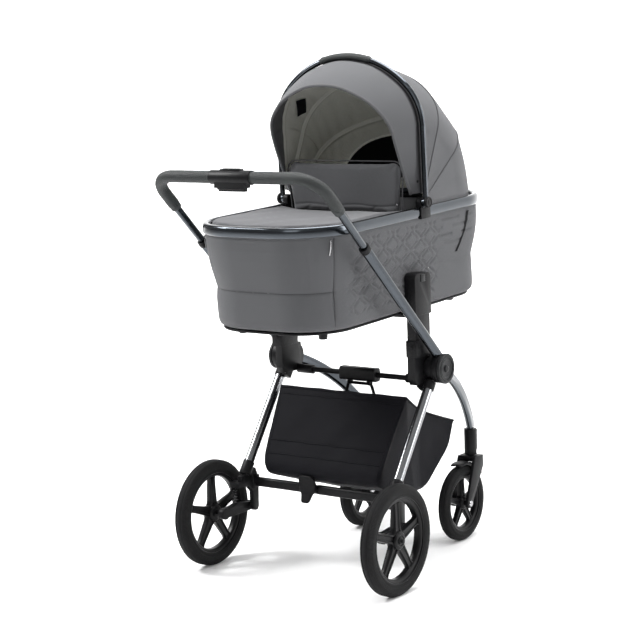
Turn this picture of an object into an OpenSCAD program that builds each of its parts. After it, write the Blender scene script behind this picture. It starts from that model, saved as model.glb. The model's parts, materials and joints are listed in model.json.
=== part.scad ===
// Pram: folding chassis with four wheels, seat posts and a carrycot with a folding hood.
// Millimetres. +Z is up, +Y is the way it is pushed, +X is the right-hand side of the
// person pushing. The origin is on the floor, under the middle of the pram's outline.

/* [Wheels] */
// Outer diameter of the rear tyres
rear_wheel_d = 280; // [276:1:284]
// Outer diameter of the front tyres
front_wheel_d = 207; // [203:1:209]
// Width of the rear tyres
rear_tyre_w = 36; // [32:1:36]
// Width of the front tyres
front_tyre_w = 32; // [28:1:32]
// Distance between the rear tyres' middle planes
rear_track = 579; // [579:1:590]
// Distance between the front swivel axes
front_track = 324; // [320:1:326]
// Distance from the rear axle forward to the front axle
wheelbase = 523; // [519:1:527]
// How far each front axle trails its swivel axis
caster_trail = 54; // [50:1:54]

/* [Frame] */
// Height of the side hubs above the floor
hub_z = 521.5; // [519:0.5:524]
// Distance of the side hubs in front of the rear axle
hub_y = 285.4; // [283:0.1:287]
// Diameter of the round rear leg tubes
rear_leg_d = 26; // [22:1:28]
// Long side of the flattened front leg tubes
front_leg_h = 30; // [24:1:32]
// Bend radius of the front legs
front_leg_bend = 540; // [500:10:620]
// Diameter of the crossbar between the hubs
crossbar_d = 14; // [12:1:16]

/* [Push handle] */
// Angle of the push tubes above the floor
handle_angle = 44.1; // [43:0.1:45]
// Diameter of the inner telescopic tube
handle_tube_d = 20; // [18:1:20]
// Distance from the hubs to the grip bar, along the tubes
handle_length = 735; // [715:5:745]
// Diameter of the wrapped grip
grip_d = 30; // [28:1:32]

/* [Carrycot] */
// Half the outer width of the metal rim
rim_half_w = 222; // [220:1:222]
// Rim length from the posts back to the foot end
rim_foot = 412; // [400:1:420]
// Rim length from the posts forward to the head end
rim_head = 431; // [425:1:440]
// Depth of the fabric body below the rim
cot_depth = 236; // [230:1:240]
// How much the head end is raised, in degrees
cot_pitch = 2; // [1.5:0.1:2.5]
// Height of the carry arch above its pivots
arch_rise = 372; // [366:1:376]
// Angle from the carry arch forward to the edge of the visor
visor_angle = 22; // [18:1:28]

/* [Basket] */
// Half the width of the basket at its rear top edge
basket_half_w = 200; // [190:1:202]

/* [Output] */
// Which piece to draw, or "all" of them

/* [Hidden] */
$fn = 64;
eps = 0.01;
run = 0.08;                      // radial clearance of a pin or shaft that turns

// Side layers of the hubs, as distances from the middle plane
housing_x = [199, 221];
front_knuckle_x = [222.5, 243];
push_knuckle_x = [244.5, 262];
cover_x = [264, 270];
hub_pin_d = 24;
hub_d = 80;
leg_x = 236;
push_x = 249.5;
tube_offset = 20;                // push tube axis above the hub centre

// Rear legs and suspension
leg_end = [78, 235];             // lower end of the leg axis: forward, up
leg_run = [hub_y - leg_end[0], hub_z - leg_end[1]];
leg_len = norm(leg_run);
leg_lean = atan2(leg_run[1], leg_run[0]);
arm_pivot = [110, 141];
bar_at = [110, 208];
axle_z = rear_wheel_d / 2;
arm_x = [241, 258];
spring_y = 50;
spring_z = [157, 203];
rear_x = rear_track / 2;

// Front legs and casters
front_x = front_track / 2;
swivel_y = wheelbase + caster_trail;
front_axle_z = front_wheel_d / 2;
caster_z = [229, 300];
chord = [swivel_y - hub_y, 305 - hub_z];
chord_len = norm(chord);
chord_drop = -atan2(chord[1], chord[0]);
front_leg_x = 240;
splay = asin((front_leg_x - front_x - 2) / norm([chord_len, 75]));
front_leg_w = 18;
stem_d = 20;
fork_gap = front_tyre_w / 2 + 4;

// Push handle, in its own tilted frame: y runs up the tubes
tilt = 180 - handle_angle;
tube_h = 27;
tube_w = 22;
collar_y = 474;
grip_y = 624;
bow_r = 65;
bar_y = hub_y - handle_length * cos(handle_angle) + tube_offset * sin(handle_angle);
bar_z = hub_z + handle_length * sin(handle_angle) + tube_offset * cos(handle_angle);

// Seat posts
post_x = [200.5, 226.5];
post_y = [212.5, 280.5];
post_top = 740;
shell_x = [197.5, 230];
shell_y = [209, 284];
shell_z = [665, 772];

// Carrycot frame: origin between the posts at the level of the cot's feet
cot_y = 240;
cot_z = 660;
rim_w = [250, 277];
rim_t = 16;
corner_r = 165;
base_w = [8, 14];
foot_low = -12;
seam_w = 112;                    // height of the seam above the upright lower panel
body_half = rim_half_w - 6;
body_foot = rim_foot - 7;
body_head = rim_head - 7;
body_floor = rim_w[0] - cot_depth;
body_taper = [20, 25, 18];       // sides, foot end, head end
flap_v = 15;
flap_len = 117;
flap_half = 182;

// Hood: U-shaped bows that turn about one line through the arch pivots
hood_v = 46;
hood_w = 288;
arch_half = 226;
arch_d = 14;
arch_top_d = 14.4;               // the top length of the arch is swaged over its ends
side_r = 150;                    // corner radius of the arch
side_h = arch_rise - 182;        // height of the corner centres
top_r = (33124 - side_r * side_r + pow(arch_half - side_r, 2)) / (2 * (182 - side_r));
top_h = arch_rise - top_r;
turn = atan2(side_h - top_h, arch_half - side_r);
hood_front_o = [10, 13];
hood_mid_o = [14.5, 17.5];
hood_rear_o = [19, 22];
hood_low = 24;

// The origin is under the middle of the outline's length
reach_front = cot_y + rim_head * cos(cot_pitch) - rim_w[0] * sin(cot_pitch);
reach_rear = bar_y - (grip_d + 4.4) / 2;
origin_y = (reach_front + reach_rear) / 2;

black = [0.07, 0.07, 0.08];
gunmetal = [0.25, 0.27, 0.31];
silver = [0.55, 0.56, 0.58];
grey = [0.40, 0.40, 0.41];
leather = [0.17, 0.18, 0.18];

// ---- helpers ----

// Puts a piece drawn for the right-hand side on either side
module on(side) mirror([side < 0 ? 1 : 0, 0, 0]) children();

// Extrudes a profile drawn in forward and up along +X, between two x values
module slab(x) translate([x[0], 0, 0]) rotate([90, 0, 90]) linear_extrude(x[1] - x[0]) children();

// A round bar along +X between two x values
module rod(x, y, z, d) translate([x[0], y, z]) rotate([0, 90, 0]) cylinder(d = d, h = x[1] - x[0]);

module block(x, y, z) translate([x[0], y[0], z[0]]) cube([x[1] - x[0], y[1] - y[0], z[1] - z[0]]);

// A flattened round outline, h along x and w along y
module oval(h, w) {
    for (s = [-1, 1]) translate([s * (h - w) / 2, 0]) circle(d = w);
    square([h - w, w], center = true);
}

// A rectangle with round corners, between two corners
module round_rect(a, b, r) {
    for (x = [a[0] + r, b[0] - r], y = [a[1] + r, b[1] - r]) translate([x, y]) circle(r);
    translate([a[0] + r, a[1]]) square([b[0] - a[0] - 2 * r, b[1] - a[1]]);
    translate([a[0], a[1] + r]) square([b[0] - a[0], b[1] - a[1] - 2 * r]);
}

// The carrycot's plan, drawn in from the rim by a margin
module cot_plan(m) round_rect([-rim_half_w + m, -rim_foot + m], [rim_half_w - m, rim_head - m],
    corner_r - m);

module cot_frame() translate([0, cot_y, cot_z]) rotate([cot_pitch, 0, 0]) children();
module handle_frame() translate([0, hub_y, hub_z]) rotate([tilt, 0, 0]) children();
module leg_frame() translate([0, hub_y, hub_z]) rotate([leg_lean + 90, 0, 0]) children();
module bar_frame() translate([0, bar_y, bar_z]) children();
module hood_frame() cot_frame() translate([0, hood_v, hood_w]) children();

// ---- hubs and frame ----

module hub(side) color(black) on(side) difference() {
    union() {
        rod([208, housing_x[1]], hub_y, hub_z, hub_d - 6);
        rod([200, cover_x[0]], hub_y, hub_z, hub_pin_d);
        slab(housing_x) polygon([[post_y[0], 559], [post_y[0], 500], [post_y[0] + 10, 484],
            [hub_y + 13, 484], [hub_y + 13, 559]]);
        block([post_x[0] - 3, post_x[1] + 3], [post_y[0] - 3, post_y[1] + 3], [558, 600]);
        leg_frame() translate([leg_x, 0, 41]) cylinder(d = rear_leg_d + 5, h = 22);
        leg_frame() block([housing_x[0] + 9, housing_x[1] + 1], [-12, 12], [30, 63]);
    }
    leg_frame() translate([leg_x, 0, 44]) cylinder(d = rear_leg_d, h = 60);
    block(post_x, post_y, [570, 601]);
}

module hub_covers() color(grey) for (s = [-1, 1]) on(s) {
    rod(cover_x, hub_y, hub_z, 78);
    difference() {
        rod([cover_x[1] - eps, cover_x[1] + 1.5], hub_y, hub_z, 78);
        rod([cover_x[1] - 1, cover_x[1] + 2], hub_y, hub_z, 66);
    }
}

module crossbar() color(black) {
    rod([-199, 199], hub_y, 488, crossbar_d);
    for (s = [-1, 1]) on(s) difference() {
        rod([150, housing_x[0]], hub_y, 488, 24);
        rod([198, 215], hub_y, hub_z, hub_pin_d + 1);
    }
}

module latch_box() color(black) difference() {
    union() {
        slab([-56, 56]) round_rect([hub_y - 15, 470], [hub_y + 15, 506], 8);
        for (x = [-36, 26]) slab([x, x + 10])
            round_rect([hub_y - 7, 458], [hub_y + 7, 474], 6);
    }
    rod([-60, 60], hub_y, 488, crossbar_d);
    rod([-60, 60], hub_y, 464, 6 + 2 * run);
}

module pull_loop() color(black) {
    rod([-44, 44], hub_y, 464, 6);
    for (s = [-1, 1]) on(s) block([44, 50], [hub_y - 3, hub_y + 3], [424, 467]);
    block([-44, 44], [hub_y - 3, hub_y + 3], [424, 432]);
}

module rear_leg(side) color(silver) on(side) leg_frame() translate([leg_x, 0, 44])
    difference() {
        cylinder(d = rear_leg_d, h = leg_len - 48);
        translate([0, 0, -1]) cylinder(d = rear_leg_d - 3.2, h = leg_len - 40);
    }

module rear_bracket(side) color(black) on(side) difference() {
    union() {
        leg_frame() translate([leg_x, 0, leg_len - 34]) cylinder(d = rear_leg_d + 5, h = 38);
        slab([226, 239]) polygon([[92, 252], [64, 232], [72, 208], [98, 182], [99, 136],
            [105, 129], [115, 129], [121, 136], [124, 216], [112, 244]]);
        block([226, arm_x[1]], [spring_y - 11, spring_y + 14], [spring_z[1], spring_z[1] + 14]);
        block([226, 239], [spring_y, 80], [spring_z[1], 232]);
        block([222, 227], [bar_at[0] - 12, bar_at[0] + 12], [bar_at[1] - 17, bar_at[1] + 17]);
        rod([238, arm_x[1] + 2], arm_pivot[0], arm_pivot[1], 10);
    }
    leg_frame() translate([leg_x, 0, 44]) cylinder(d = rear_leg_d, h = leg_len - 48);
}

module rear_arm(side) color(black) on(side) difference() {
    union() {
        slab(arm_x) polygon([[-8, 128], [104, 129], [116, 131], [116, 150], [60, 157],
            [40, 157], [-4, 152]]);
        rod(arm_x, arm_pivot[0], arm_pivot[1], 24);
        rod(arm_x, 0, axle_z, 30);
        rod([arm_x[1] - 1, rear_x + 24], 0, axle_z, 10);
    }
    rod([arm_x[0] - 1, arm_x[1] + 1], arm_pivot[0], arm_pivot[1], 10 + 2 * run);
}

module rear_spring(side) color(silver) on(side)
    translate([(arm_x[0] + arm_x[1]) / 2, spring_y, spring_z[0] + 0.4])
        linear_extrude(spring_z[1] - spring_z[0] - 0.8, twist = -360 * 6, slices = 72)
            translate([6.2, 0]) circle(d = 2.6, $fn = 8);

module brake_bar() color(black) {
    for (x = [[-222, -72], [-18, 222]])
        slab(x) translate(bar_at) rotate(90) oval(26, 16);
    rod([-73, -17], bar_at[0], bar_at[1], 14);
}

module brake_pedal() color(black) difference() {
    union() {
        rod([-71, -19], bar_at[0], bar_at[1], 24);
        slab([-71, -19]) polygon([[bar_at[0] - 30, 178], [bar_at[0] - 24, 174],
            [bar_at[0] - 6, 200], [bar_at[0] - 4, 219], [bar_at[0] - 16, 246],
            [bar_at[0] - 24, 244]]);
    }
    rod([-80, -10], bar_at[0], bar_at[1], 14 + 2 * run);
}

module seat_post(side) color(black) on(side) difference() {
    block(post_x, post_y, [570, post_top]);
    for (y = [229, 264]) rod([post_x[0] - 1, post_x[0] + 3], y, 615, 6);
}

module basket() color(black) {
    difference() {
        basket_form(0);
        basket_form(4);
    }
    slab([-basket_half_w + 4, basket_half_w - 4]) polygon([[197, 452], [203, 452],
        [88, 262], [82, 262]]);
}

// The basket's outline, drawn in by a wall thickness
module basket_form(t) intersection() {
    slab([-300, 300]) polygon([[203 + t, 452 + 20 * sign(t)], [86 + t, 262],
        [120 + t, 232 + t], [268, 182 + t], [364 - t / 2, 177 + t], [475 - t, 264],
        [503 - t, 335 + 20 * sign(t)]]);
    translate([0, 700, 0]) rotate([90, 0, 0]) linear_extrude(900) polygon([
        [-178 + t, 170], [178 - t, 170], [basket_half_w - t, 452], [basket_half_w - t, 600],
        [-basket_half_w + t, 600], [-basket_half_w + t, 452]]);
    translate([0, 0, 100]) linear_extrude(500) polygon([[-basket_half_w + t, 60],
        [basket_half_w - t, 60], [basket_half_w - t, 200], [153 - t, 336], [153 - t, 510],
        [-153 + t, 510], [-153 + t, 336], [-basket_half_w + t, 200]]);
}

// ---- wheels ----

// Tyre with a flat tread and round shoulders, turning about +X
module tyre(r, wall, w) rotate([0, 90, 0]) rotate_extrude($fn = 96) translate([r - wall, 0])
    intersection() {
        round_rect([-12, -w / 2], [wall, w / 2], 11);
        translate([0, -w]) square([wall + 1, 2 * w]);
    }

// Rim ring, spokes and hub with an axle bore
module rim(r, w, hub, bore) difference() {
    union() {
        rotate([0, 90, 0]) rotate_extrude($fn = 96) polygon([[r - 11, -w / 2], [r, -w / 2],
            [r, w / 2], [r - 11, w / 2], [r - 15, w / 2 - 5], [r - 15, -w / 2 + 5]]);
        rod([-w / 2, w / 2], 0, 0, hub);
        for (i = [0:4]) rotate([72 * i + 18, 0, 0]) slab([-w / 4, w / 4])
            polygon([[hub / 2 - 8, -0.24 * hub], [hub / 2 - 8, 0.24 * hub],
                [r - 13, 0.17 * hub], [r - 13, -0.17 * hub]]);
    }
    rod([-w, w], 0, 0, bore);
}

module rear_wheel_at(side) on(side) translate([rear_x, 0, axle_z]) children();
module front_wheel_at(side) on(side) translate([front_x, wheelbase, front_axle_z]) children();

module rear_tyre(side) color(black) rear_wheel_at(side)
    tyre(rear_wheel_d / 2, 30, rear_tyre_w);
module rear_rim(side) color(black) rear_wheel_at(side)
    rim(rear_wheel_d / 2 - 30, rear_tyre_w - 6, 46, 10 + 2 * run);
module front_tyre(side) color(black) front_wheel_at(side)
    tyre(front_wheel_d / 2, 24, front_tyre_w);
module front_rim(side) color(black) front_wheel_at(side)
    rim(front_wheel_d / 2 - 24, front_tyre_w - 6, 34, 8 + 2 * run);

// ---- front legs and casters ----

module bent_leg(h, w) {
    half = asin(norm([chord_len, 75]) / 2 / front_leg_bend);
    long = norm([chord_len, 75]);
    translate([0, long / 2, -front_leg_bend * cos(half)]) rotate([90, 0, 90])
        rotate(90 - half) rotate_extrude(angle = 2 * half, $fn = 96)
            translate([front_leg_bend, 0]) oval(h, w);
}

module front_leg(side) color(gunmetal) on(side) difference() {
    union() {
        difference() {
            translate([front_leg_x, hub_y, hub_z]) rotate([-chord_drop, 0, 0])
                rotate([0, 0, splay]) difference() {
                    bent_leg(front_leg_h, front_leg_w);
                    bent_leg(front_leg_h - 4, front_leg_w - 4);
                }
            rod([200, 270], hub_y, hub_z, 56);
            block([100, 300], [500, 700], [200, caster_z[1]]);
        }
        rod(front_knuckle_x, hub_y, hub_z, 68);
    }
    rod([200, 270], hub_y, hub_z, hub_pin_d + 2 * run);
}

module caster(side) color(black) on(side) difference() {
    translate([front_x, swivel_y, 0]) union() {
        translate([0, 0, caster_z[0]]) cylinder(d = 34, h = caster_z[1] - caster_z[0]);
        translate([-10, 0, 240]) cube([20, 20, 56]);
    }
    translate([front_x, swivel_y, caster_z[0] - 1]) cylinder(d = stem_d + 2 * run, h = 61);
    block([front_x - 6.5, front_x + 6.5], [swivel_y + 15.5, swivel_y + 21], [250, 282]);
}

module caster_lock(side) color(grey) on(side)
    block([front_x - 6, front_x + 6], [swivel_y + 15.8, swivel_y + 23], [258, 281.5]);

module fork(side) color(black) on(side) {
    translate([front_x, swivel_y, 220]) cylinder(d = stem_d, h = 68);
    block([front_x - fork_gap - 8, front_x + fork_gap + 8], [swivel_y - 22, swivel_y + 20],
        [212, 226]);
    for (s = [-1, 1]) translate([front_x + s * (fork_gap + 4), 0, 0]) slab([-4, 4]) {
        polygon([[swivel_y - 22, 226], [swivel_y + 20, 226], [swivel_y + 20, 196],
            [wheelbase + 12, front_axle_z - 6], [wheelbase - 12, front_axle_z + 4],
            [swivel_y - 30, 205]]);
        translate([wheelbase, front_axle_z]) circle(13);
    }
    rod([front_x - fork_gap - 10, front_x + fork_gap + 10], wheelbase, front_axle_z, 8);
}

// ---- push handle ----

// An oval tube outline standing along the handle frame's y, at the right-hand push tube
module along_tube(y) translate([push_x, y[0], -tube_offset]) rotate([-90, 0, 0])
    linear_extrude(y[1] - y[0]) rotate(90) children();

module push_tube(side) color(gunmetal) on(side) {
    difference() {
        union() {
            difference() {
                handle_frame() along_tube([20, collar_y]) oval(tube_h, tube_w);
                rod([200, 300], hub_y, hub_z, 60);
                rod([200, front_knuckle_x[1] + 0.7], hub_y, hub_z, 72);
            }
            rod(push_knuckle_x, hub_y, hub_z, 76);
        }
        rod([200, 300], hub_y, hub_z, hub_pin_d + 2 * run);
        handle_frame() along_tube([60, collar_y + 1]) circle(d = handle_tube_d + 2 * run);
    }
}

module tube_collars() color(black) for (s = [-1, 1]) on(s) handle_frame() difference() {
    along_tube([collar_y - 10, collar_y + 6]) oval(tube_h + 3, tube_w + 3);
    along_tube([collar_y - 11, collar_y]) oval(tube_h, tube_w);
    along_tube([collar_y - 1, collar_y + 7]) circle(d = handle_tube_d + 2 * run);
}

// The bent bar of the handle, from a start y round both bends, with any outline
module bow(start) {
    for (s = [-1, 1]) on(s) {
        along_tube([start, handle_length - bow_r]) children();
        translate([push_x - bow_r, handle_length - bow_r, -tube_offset])
            rotate_extrude(angle = 90, $fn = 96) translate([bow_r, 0]) rotate(90) children();
    }
    translate([0, handle_length, -tube_offset]) rotate([0, 90, 0])
        linear_extrude(2 * (push_x - bow_r), center = true) children();
}

module handle_bow() color(gunmetal) handle_frame() bow(374) difference() {
    circle(d = handle_tube_d);
    circle(d = handle_tube_d - 3);
}

module handle_grip() color(leather) handle_frame() bow(grip_y) difference() {
    circle(d = grip_d);
    circle(d = handle_tube_d + 0.2);
}

module grip_collars() color(grey) for (s = [-1, 1]) on(s) handle_frame()
    along_tube([grip_y - 12, grip_y]) difference() {
        circle(d = grip_d - 2);
        circle(d = handle_tube_d + 0.2);
    }

module handle_housing() color(black) bar_frame() difference() {
    union() {
        rod([-61, 61], 0, 0, grip_d + 4.4);
        block([-45, 45], [-13, 13], [-25, 0]);
        block([-30, 30], [-8, 8], [0, 20]);
    }
    rod([-62, 62], 0, 0, grip_d + 0.4);
    block([-40.5, 40.5], [-9.5, 9.5], [-26, -17]);
    block([-24.5, 24.5], [-5.5, 5.5], [16.6, 21]);
}

module handle_button() color(grey) bar_frame() block([-24, 24], [-5, 5], [18.6, 21.5]);

module handle_trigger() color(black) bar_frame() difference() {
    block([-40, 40], [-9, 9], [-34, -22.5]);
    block([-41, 41], [-10, -4], [-35, -29]);
}

// ---- carrycot ----

module post_shell(side) color(black) on(side) difference() {
    union() {
        slab(shell_x) union() {
            translate([shell_y[0], shell_z[0]])
                square([shell_y[1] - shell_y[0], shell_z[1] - shell_z[0] - 14]);
            round_rect([shell_y[0], shell_z[1] - 40], [shell_y[1], shell_z[1]], 14);
        }
        cot_frame() block([128, shell_x[0] + 2], [-26, 38], [0, base_w[0]]);
    }
    block([post_x[0] - 0.5, post_x[1] + 0.5], [post_y[0] - 0.5, post_y[1] + 0.5],
        [shell_z[0] - 20, post_top + 0.3]);
    block([221, 231], [235.5, 256.5], [749.5, 768.5]);
}

module post_button(side) color(grey) on(side) block([224.5, 231.5], [236, 256], [750, 768]);

// The fabric body's form, drawn in by a wall thickness, open upwards when t > 0
module cot_form(t) intersection() {
    low = body_floor + (t > 0 ? 16 : 0);
    high = rim_w[0] + (t > 0 ? 40 : 0);
    translate([0, 0, low]) linear_extrude(high - low) cot_plan(6 + t);
    slab([-300, 300]) polygon([
        [-body_foot + body_taper[1] + 12 + t, low], [-body_foot + body_taper[1] + t, low + 12],
        [-body_foot + body_taper[1] + t, seam_w],
        [-body_foot + t, rim_w[0]], [-body_foot + t, 400],
        [body_head - t, 400], [body_head - t, rim_w[0]],
        [body_head - body_taper[2] - t, seam_w], [body_head - body_taper[2] - t, low + 12],
        [body_head - body_taper[2] - 12 - t, low]]);
    translate([0, 600, 0]) rotate([90, 0, 0]) linear_extrude(1200) polygon([
        [-body_half + body_taper[0] + 10 + t, low], [-body_half + body_taper[0] + t, low + 10],
        [-body_half + body_taper[0] + t, seam_w], [-body_half + t, rim_w[0]],
        [-body_half + t, 400], [body_half - t, 400],
        [body_half - t, rim_w[0]], [body_half - body_taper[0] - t, seam_w],
        [body_half - body_taper[0] - t, low + 10],
        [body_half - body_taper[0] - 10 - t, low]]);
}

module cot_body() color(grey) cot_frame() difference() {
    cot_form(0);
    cot_form(9);
    for (s = [-1, 1]) on(s) block([202, 226], [hood_v - 23, hood_v + 23], [rim_w[0] - 3.5, 260]);
}

module cot_base() color(black) cot_frame() {
    translate([0, 0, base_w[0]]) linear_extrude(base_w[1] - base_w[0]) cot_plan(38);
    for (x = [-124, 124], v = [-289, 304]) translate([x, v, foot_low])
        cylinder(d1 = 21, d2 = 26, h = base_w[0] - foot_low + eps);
}

module mattress() color(grey) cot_frame() translate([0, 0, body_floor + 17]) linear_extrude(34)
    cot_plan(54);

module cot_rim() color(gunmetal) cot_frame() translate([0, 0, rim_w[0]]) difference() {
    linear_extrude(rim_w[1] - rim_w[0]) cot_plan(0);
    translate([0, 0, -1]) linear_extrude(40) cot_plan(rim_t);
}

module rim_sleeves() color(black) for (s = [-1, 1]) on(s) cot_frame() difference() {
    union() {
        block([rim_half_w - rim_t - 3, rim_half_w + 3], [hood_v - 22, hood_v + 22],
            [rim_w[0] - 3, rim_w[1] - 2]);
        block([203, 216.5], [hood_v - 12, hood_v + 12], [rim_w[0] - 3, hood_w]);
        rod([203, 216.5], hood_v, hood_w, 24);
        rod([216, 233.5], hood_v, hood_w, 8);
    }
    block([rim_half_w - rim_t, rim_half_w], [-100, 200], [rim_w[0], rim_w[1]]);
}

module apron() color(grey) cot_frame() translate([0, 0, rim_w[1] - 8]) linear_extrude(6)
    intersection() {
        cot_plan(rim_t);
        translate([-300, -500]) square([600, 500 + flap_v + 6]);
    }

module wind_flap() color(grey) cot_frame() translate([0, flap_v, rim_w[1] + 1])
    rotate([90, 0, 0]) translate([0, 0, -2.5]) linear_extrude(5) difference() {
        round_rect([-flap_half, -30], [flap_half, flap_len], 28);
        translate([-200, -40]) square([400, 42]);
    }

// The area inside the arch's centre line, drawn in by o: x is up, y is across
module arch_area(o) {
    translate([0, -arch_half + o]) square([side_h, 2 * (arch_half - o)]);
    for (s = [-1, 1]) translate([side_h, s * (arch_half - side_r)]) circle(side_r - o);
    intersection() {
        translate([top_h, 0]) circle(top_r - o, $fn = 96);
        polygon([[top_h, 0], top_h * [1, 0] + 400 * [sin(turn), cos(turn)], [600, 0],
            top_h * [1, 0] + 400 * [sin(turn), -cos(turn)]]);
    }
}

// A hood segment between two angles above the head end, between two insets
module hood_segment(from, to, o) hood_frame() rotate([90, 0, 90]) rotate(from)
    rotate_extrude(angle = to - from, $fn = 96) difference() {
        arch_area(o[0]);
        arch_area(o[1]);
        translate([-1, -300]) square([hood_low + 1, 600]);
    }

module hood_front() color(grey) hood_segment(66, 90 + visor_angle, hood_front_o);
module hood_mid() color(grey) hood_segment(34, 70, hood_mid_o);

module hood_rear() color(grey) {
    hood_segment(0, 38, hood_rear_o);
    cot_frame() translate([0, 0, rim_w[1]]) linear_extrude(hood_w - rim_w[1] - 2) intersection() {
        difference() {
            cot_plan(2);
            cot_plan(rim_t + 6);
        }
        translate([-300, hood_v + 26]) square([600, 500]);
    }
    for (s = [-1, 1]) on(s) cot_frame() block([arch_half - hood_rear_o[1], arch_half - hood_rear_o[0]],
        [hood_v + 26, hood_v + 260], [rim_w[1], hood_w + 3]);
}

module carry_arch() color(gunmetal) hood_frame() {
    for (s = [-1, 1]) on(s) {
        difference() {
            union() {
                translate([arch_half, 0, 4]) cylinder(d = arch_d, h = side_h - 4);
                rod([218.5, 232.5], 0, 0, 20);
            }
            rod([210, 240], 0, 0, 8 + 2 * run);
        }
        translate([arch_half - side_r, 0, side_h]) rotate([90, 0, 0])
            rotate_extrude(angle = turn, $fn = 96) translate([side_r, 0]) circle(d = arch_d);
    }
    translate([0, 0, top_h]) rotate([90, 0, 0]) rotate(turn - 0.4)
        rotate_extrude(angle = 180.8 - 2 * turn, $fn = 96) translate([top_r, 0])
            circle(d = arch_top_d);
}

module arch_grip() color(leather) hood_frame() translate([0, 0, top_h]) rotate([90, 0, 0])
    rotate(90 - 18) rotate_extrude(angle = 36, $fn = 96) translate([top_r, 0])
        difference() {
            circle(d = arch_d + 5);
            circle(d = arch_top_d + 0.2);
        }

// ---- assembly ----

module put() translate([0, -origin_y, 0]) children();

put() hub(1);  // hub_right
put() hub(-1);  // hub_left
put() hub_covers();
put() crossbar();
put() latch_box();
put() pull_loop();
put() rear_leg(1);  // rear_leg_right
put() rear_leg(-1);  // rear_leg_left
put() rear_bracket(1);  // rear_bracket_right
put() rear_bracket(-1);  // rear_bracket_left
put() brake_bar();
put() brake_pedal();
put() seat_post(1);  // seat_post_right
put() seat_post(-1);  // seat_post_left
put() basket();
put() rear_arm(1);  // rear_arm_right
put() rear_arm(-1);  // rear_arm_left
put() rear_spring(1);  // rear_spring_right
put() rear_spring(-1);  // rear_spring_left
put() rear_tyre(1);  // rear_tyre_right
put() rear_tyre(-1);  // rear_tyre_left
put() rear_rim(1);  // rear_rim_right
put() rear_rim(-1);  // rear_rim_left
put() front_leg(1);  // front_leg_right
put() front_leg(-1);  // front_leg_left
put() caster(1);  // caster_right
put() caster(-1);  // caster_left
put() caster_lock(1);  // caster_lock_right
put() caster_lock(-1);  // caster_lock_left
put() fork(1);  // fork_right
put() fork(-1);  // fork_left
put() front_tyre(1);  // front_tyre_right
put() front_tyre(-1);  // front_tyre_left
put() front_rim(1);  // front_rim_right
put() front_rim(-1);  // front_rim_left
put() push_tube(1);  // push_tube_right
put() push_tube(-1);  // push_tube_left
put() tube_collars();
put() handle_bow();
put() handle_grip();
put() grip_collars();
put() handle_housing();
put() handle_button();
put() handle_trigger();
put() post_shell(1);  // post_shell_right
put() post_shell(-1);  // post_shell_left
put() post_button(1);  // post_button_right
put() post_button(-1);  // post_button_left
put() cot_body();
put() cot_base();
put() mattress();
put() cot_rim();
put() rim_sleeves();
put() apron();
put() wind_flap();
put() hood_rear();
put() hood_mid();
put() hood_front();
put() carry_arch();
put() arch_grip();
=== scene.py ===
import bpy, bmesh, json, math
import numpy as np
from mathutils import Vector, Matrix

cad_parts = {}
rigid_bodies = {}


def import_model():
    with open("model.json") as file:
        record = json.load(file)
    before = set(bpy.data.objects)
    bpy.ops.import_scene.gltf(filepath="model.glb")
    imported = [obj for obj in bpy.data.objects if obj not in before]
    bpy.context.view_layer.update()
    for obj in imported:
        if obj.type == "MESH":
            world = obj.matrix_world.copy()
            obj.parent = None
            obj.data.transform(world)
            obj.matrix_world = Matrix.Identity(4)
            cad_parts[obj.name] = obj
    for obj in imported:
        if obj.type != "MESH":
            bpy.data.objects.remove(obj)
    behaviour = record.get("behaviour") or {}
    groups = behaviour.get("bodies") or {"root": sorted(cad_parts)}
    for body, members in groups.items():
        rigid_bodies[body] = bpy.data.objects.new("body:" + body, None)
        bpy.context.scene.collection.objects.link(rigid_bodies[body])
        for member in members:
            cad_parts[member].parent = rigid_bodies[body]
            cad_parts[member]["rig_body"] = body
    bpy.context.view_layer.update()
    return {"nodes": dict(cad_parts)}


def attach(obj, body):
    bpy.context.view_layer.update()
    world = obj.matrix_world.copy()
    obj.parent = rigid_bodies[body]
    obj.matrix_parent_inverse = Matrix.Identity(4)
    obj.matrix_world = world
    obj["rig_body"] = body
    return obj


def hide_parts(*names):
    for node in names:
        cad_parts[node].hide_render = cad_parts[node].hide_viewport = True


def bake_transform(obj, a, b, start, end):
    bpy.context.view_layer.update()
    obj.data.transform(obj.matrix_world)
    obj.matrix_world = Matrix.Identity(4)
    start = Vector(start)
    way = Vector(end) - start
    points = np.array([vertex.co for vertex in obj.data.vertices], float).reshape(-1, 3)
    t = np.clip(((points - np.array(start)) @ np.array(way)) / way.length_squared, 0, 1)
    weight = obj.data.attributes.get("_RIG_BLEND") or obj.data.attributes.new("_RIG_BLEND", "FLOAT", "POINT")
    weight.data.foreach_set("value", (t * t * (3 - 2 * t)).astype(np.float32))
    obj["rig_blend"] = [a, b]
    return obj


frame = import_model()
nodes = frame["nodes"]
scene = bpy.context.scene

# ---------------------------------------------------------------- sizes, in millimetres
OY = 208.154                     # origin: middle of the outline
HUB = (285.4, 521.5)             # the side hubs, forward of the rear axle and above the floor
HA = math.radians(44.1)          # slope of the push tubes
PITCH = math.radians(2.0)        # tilt of the carrycot
RIM_HALF, RIM_FOOT, RIM_HEAD, CORNER = 222.0, 412.0, 431.0, 165.0
HOOD_V, HOOD_W = 46.0, 288.0     # the hood's hinge line
SEAM_V, SEAM_W = -326, 111.5     # seams down the side and round the foot end
cp, sp = math.cos(PITCH), math.sin(PITCH)


def P(x, y, z):
    return Vector((x, y - OY, z)) / 1000


def C(x, v, w):
    """A point in the carrycot's frame."""
    return P(x, 240 + v * cp - w * sp, 660 + v * sp + w * cp)


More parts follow.
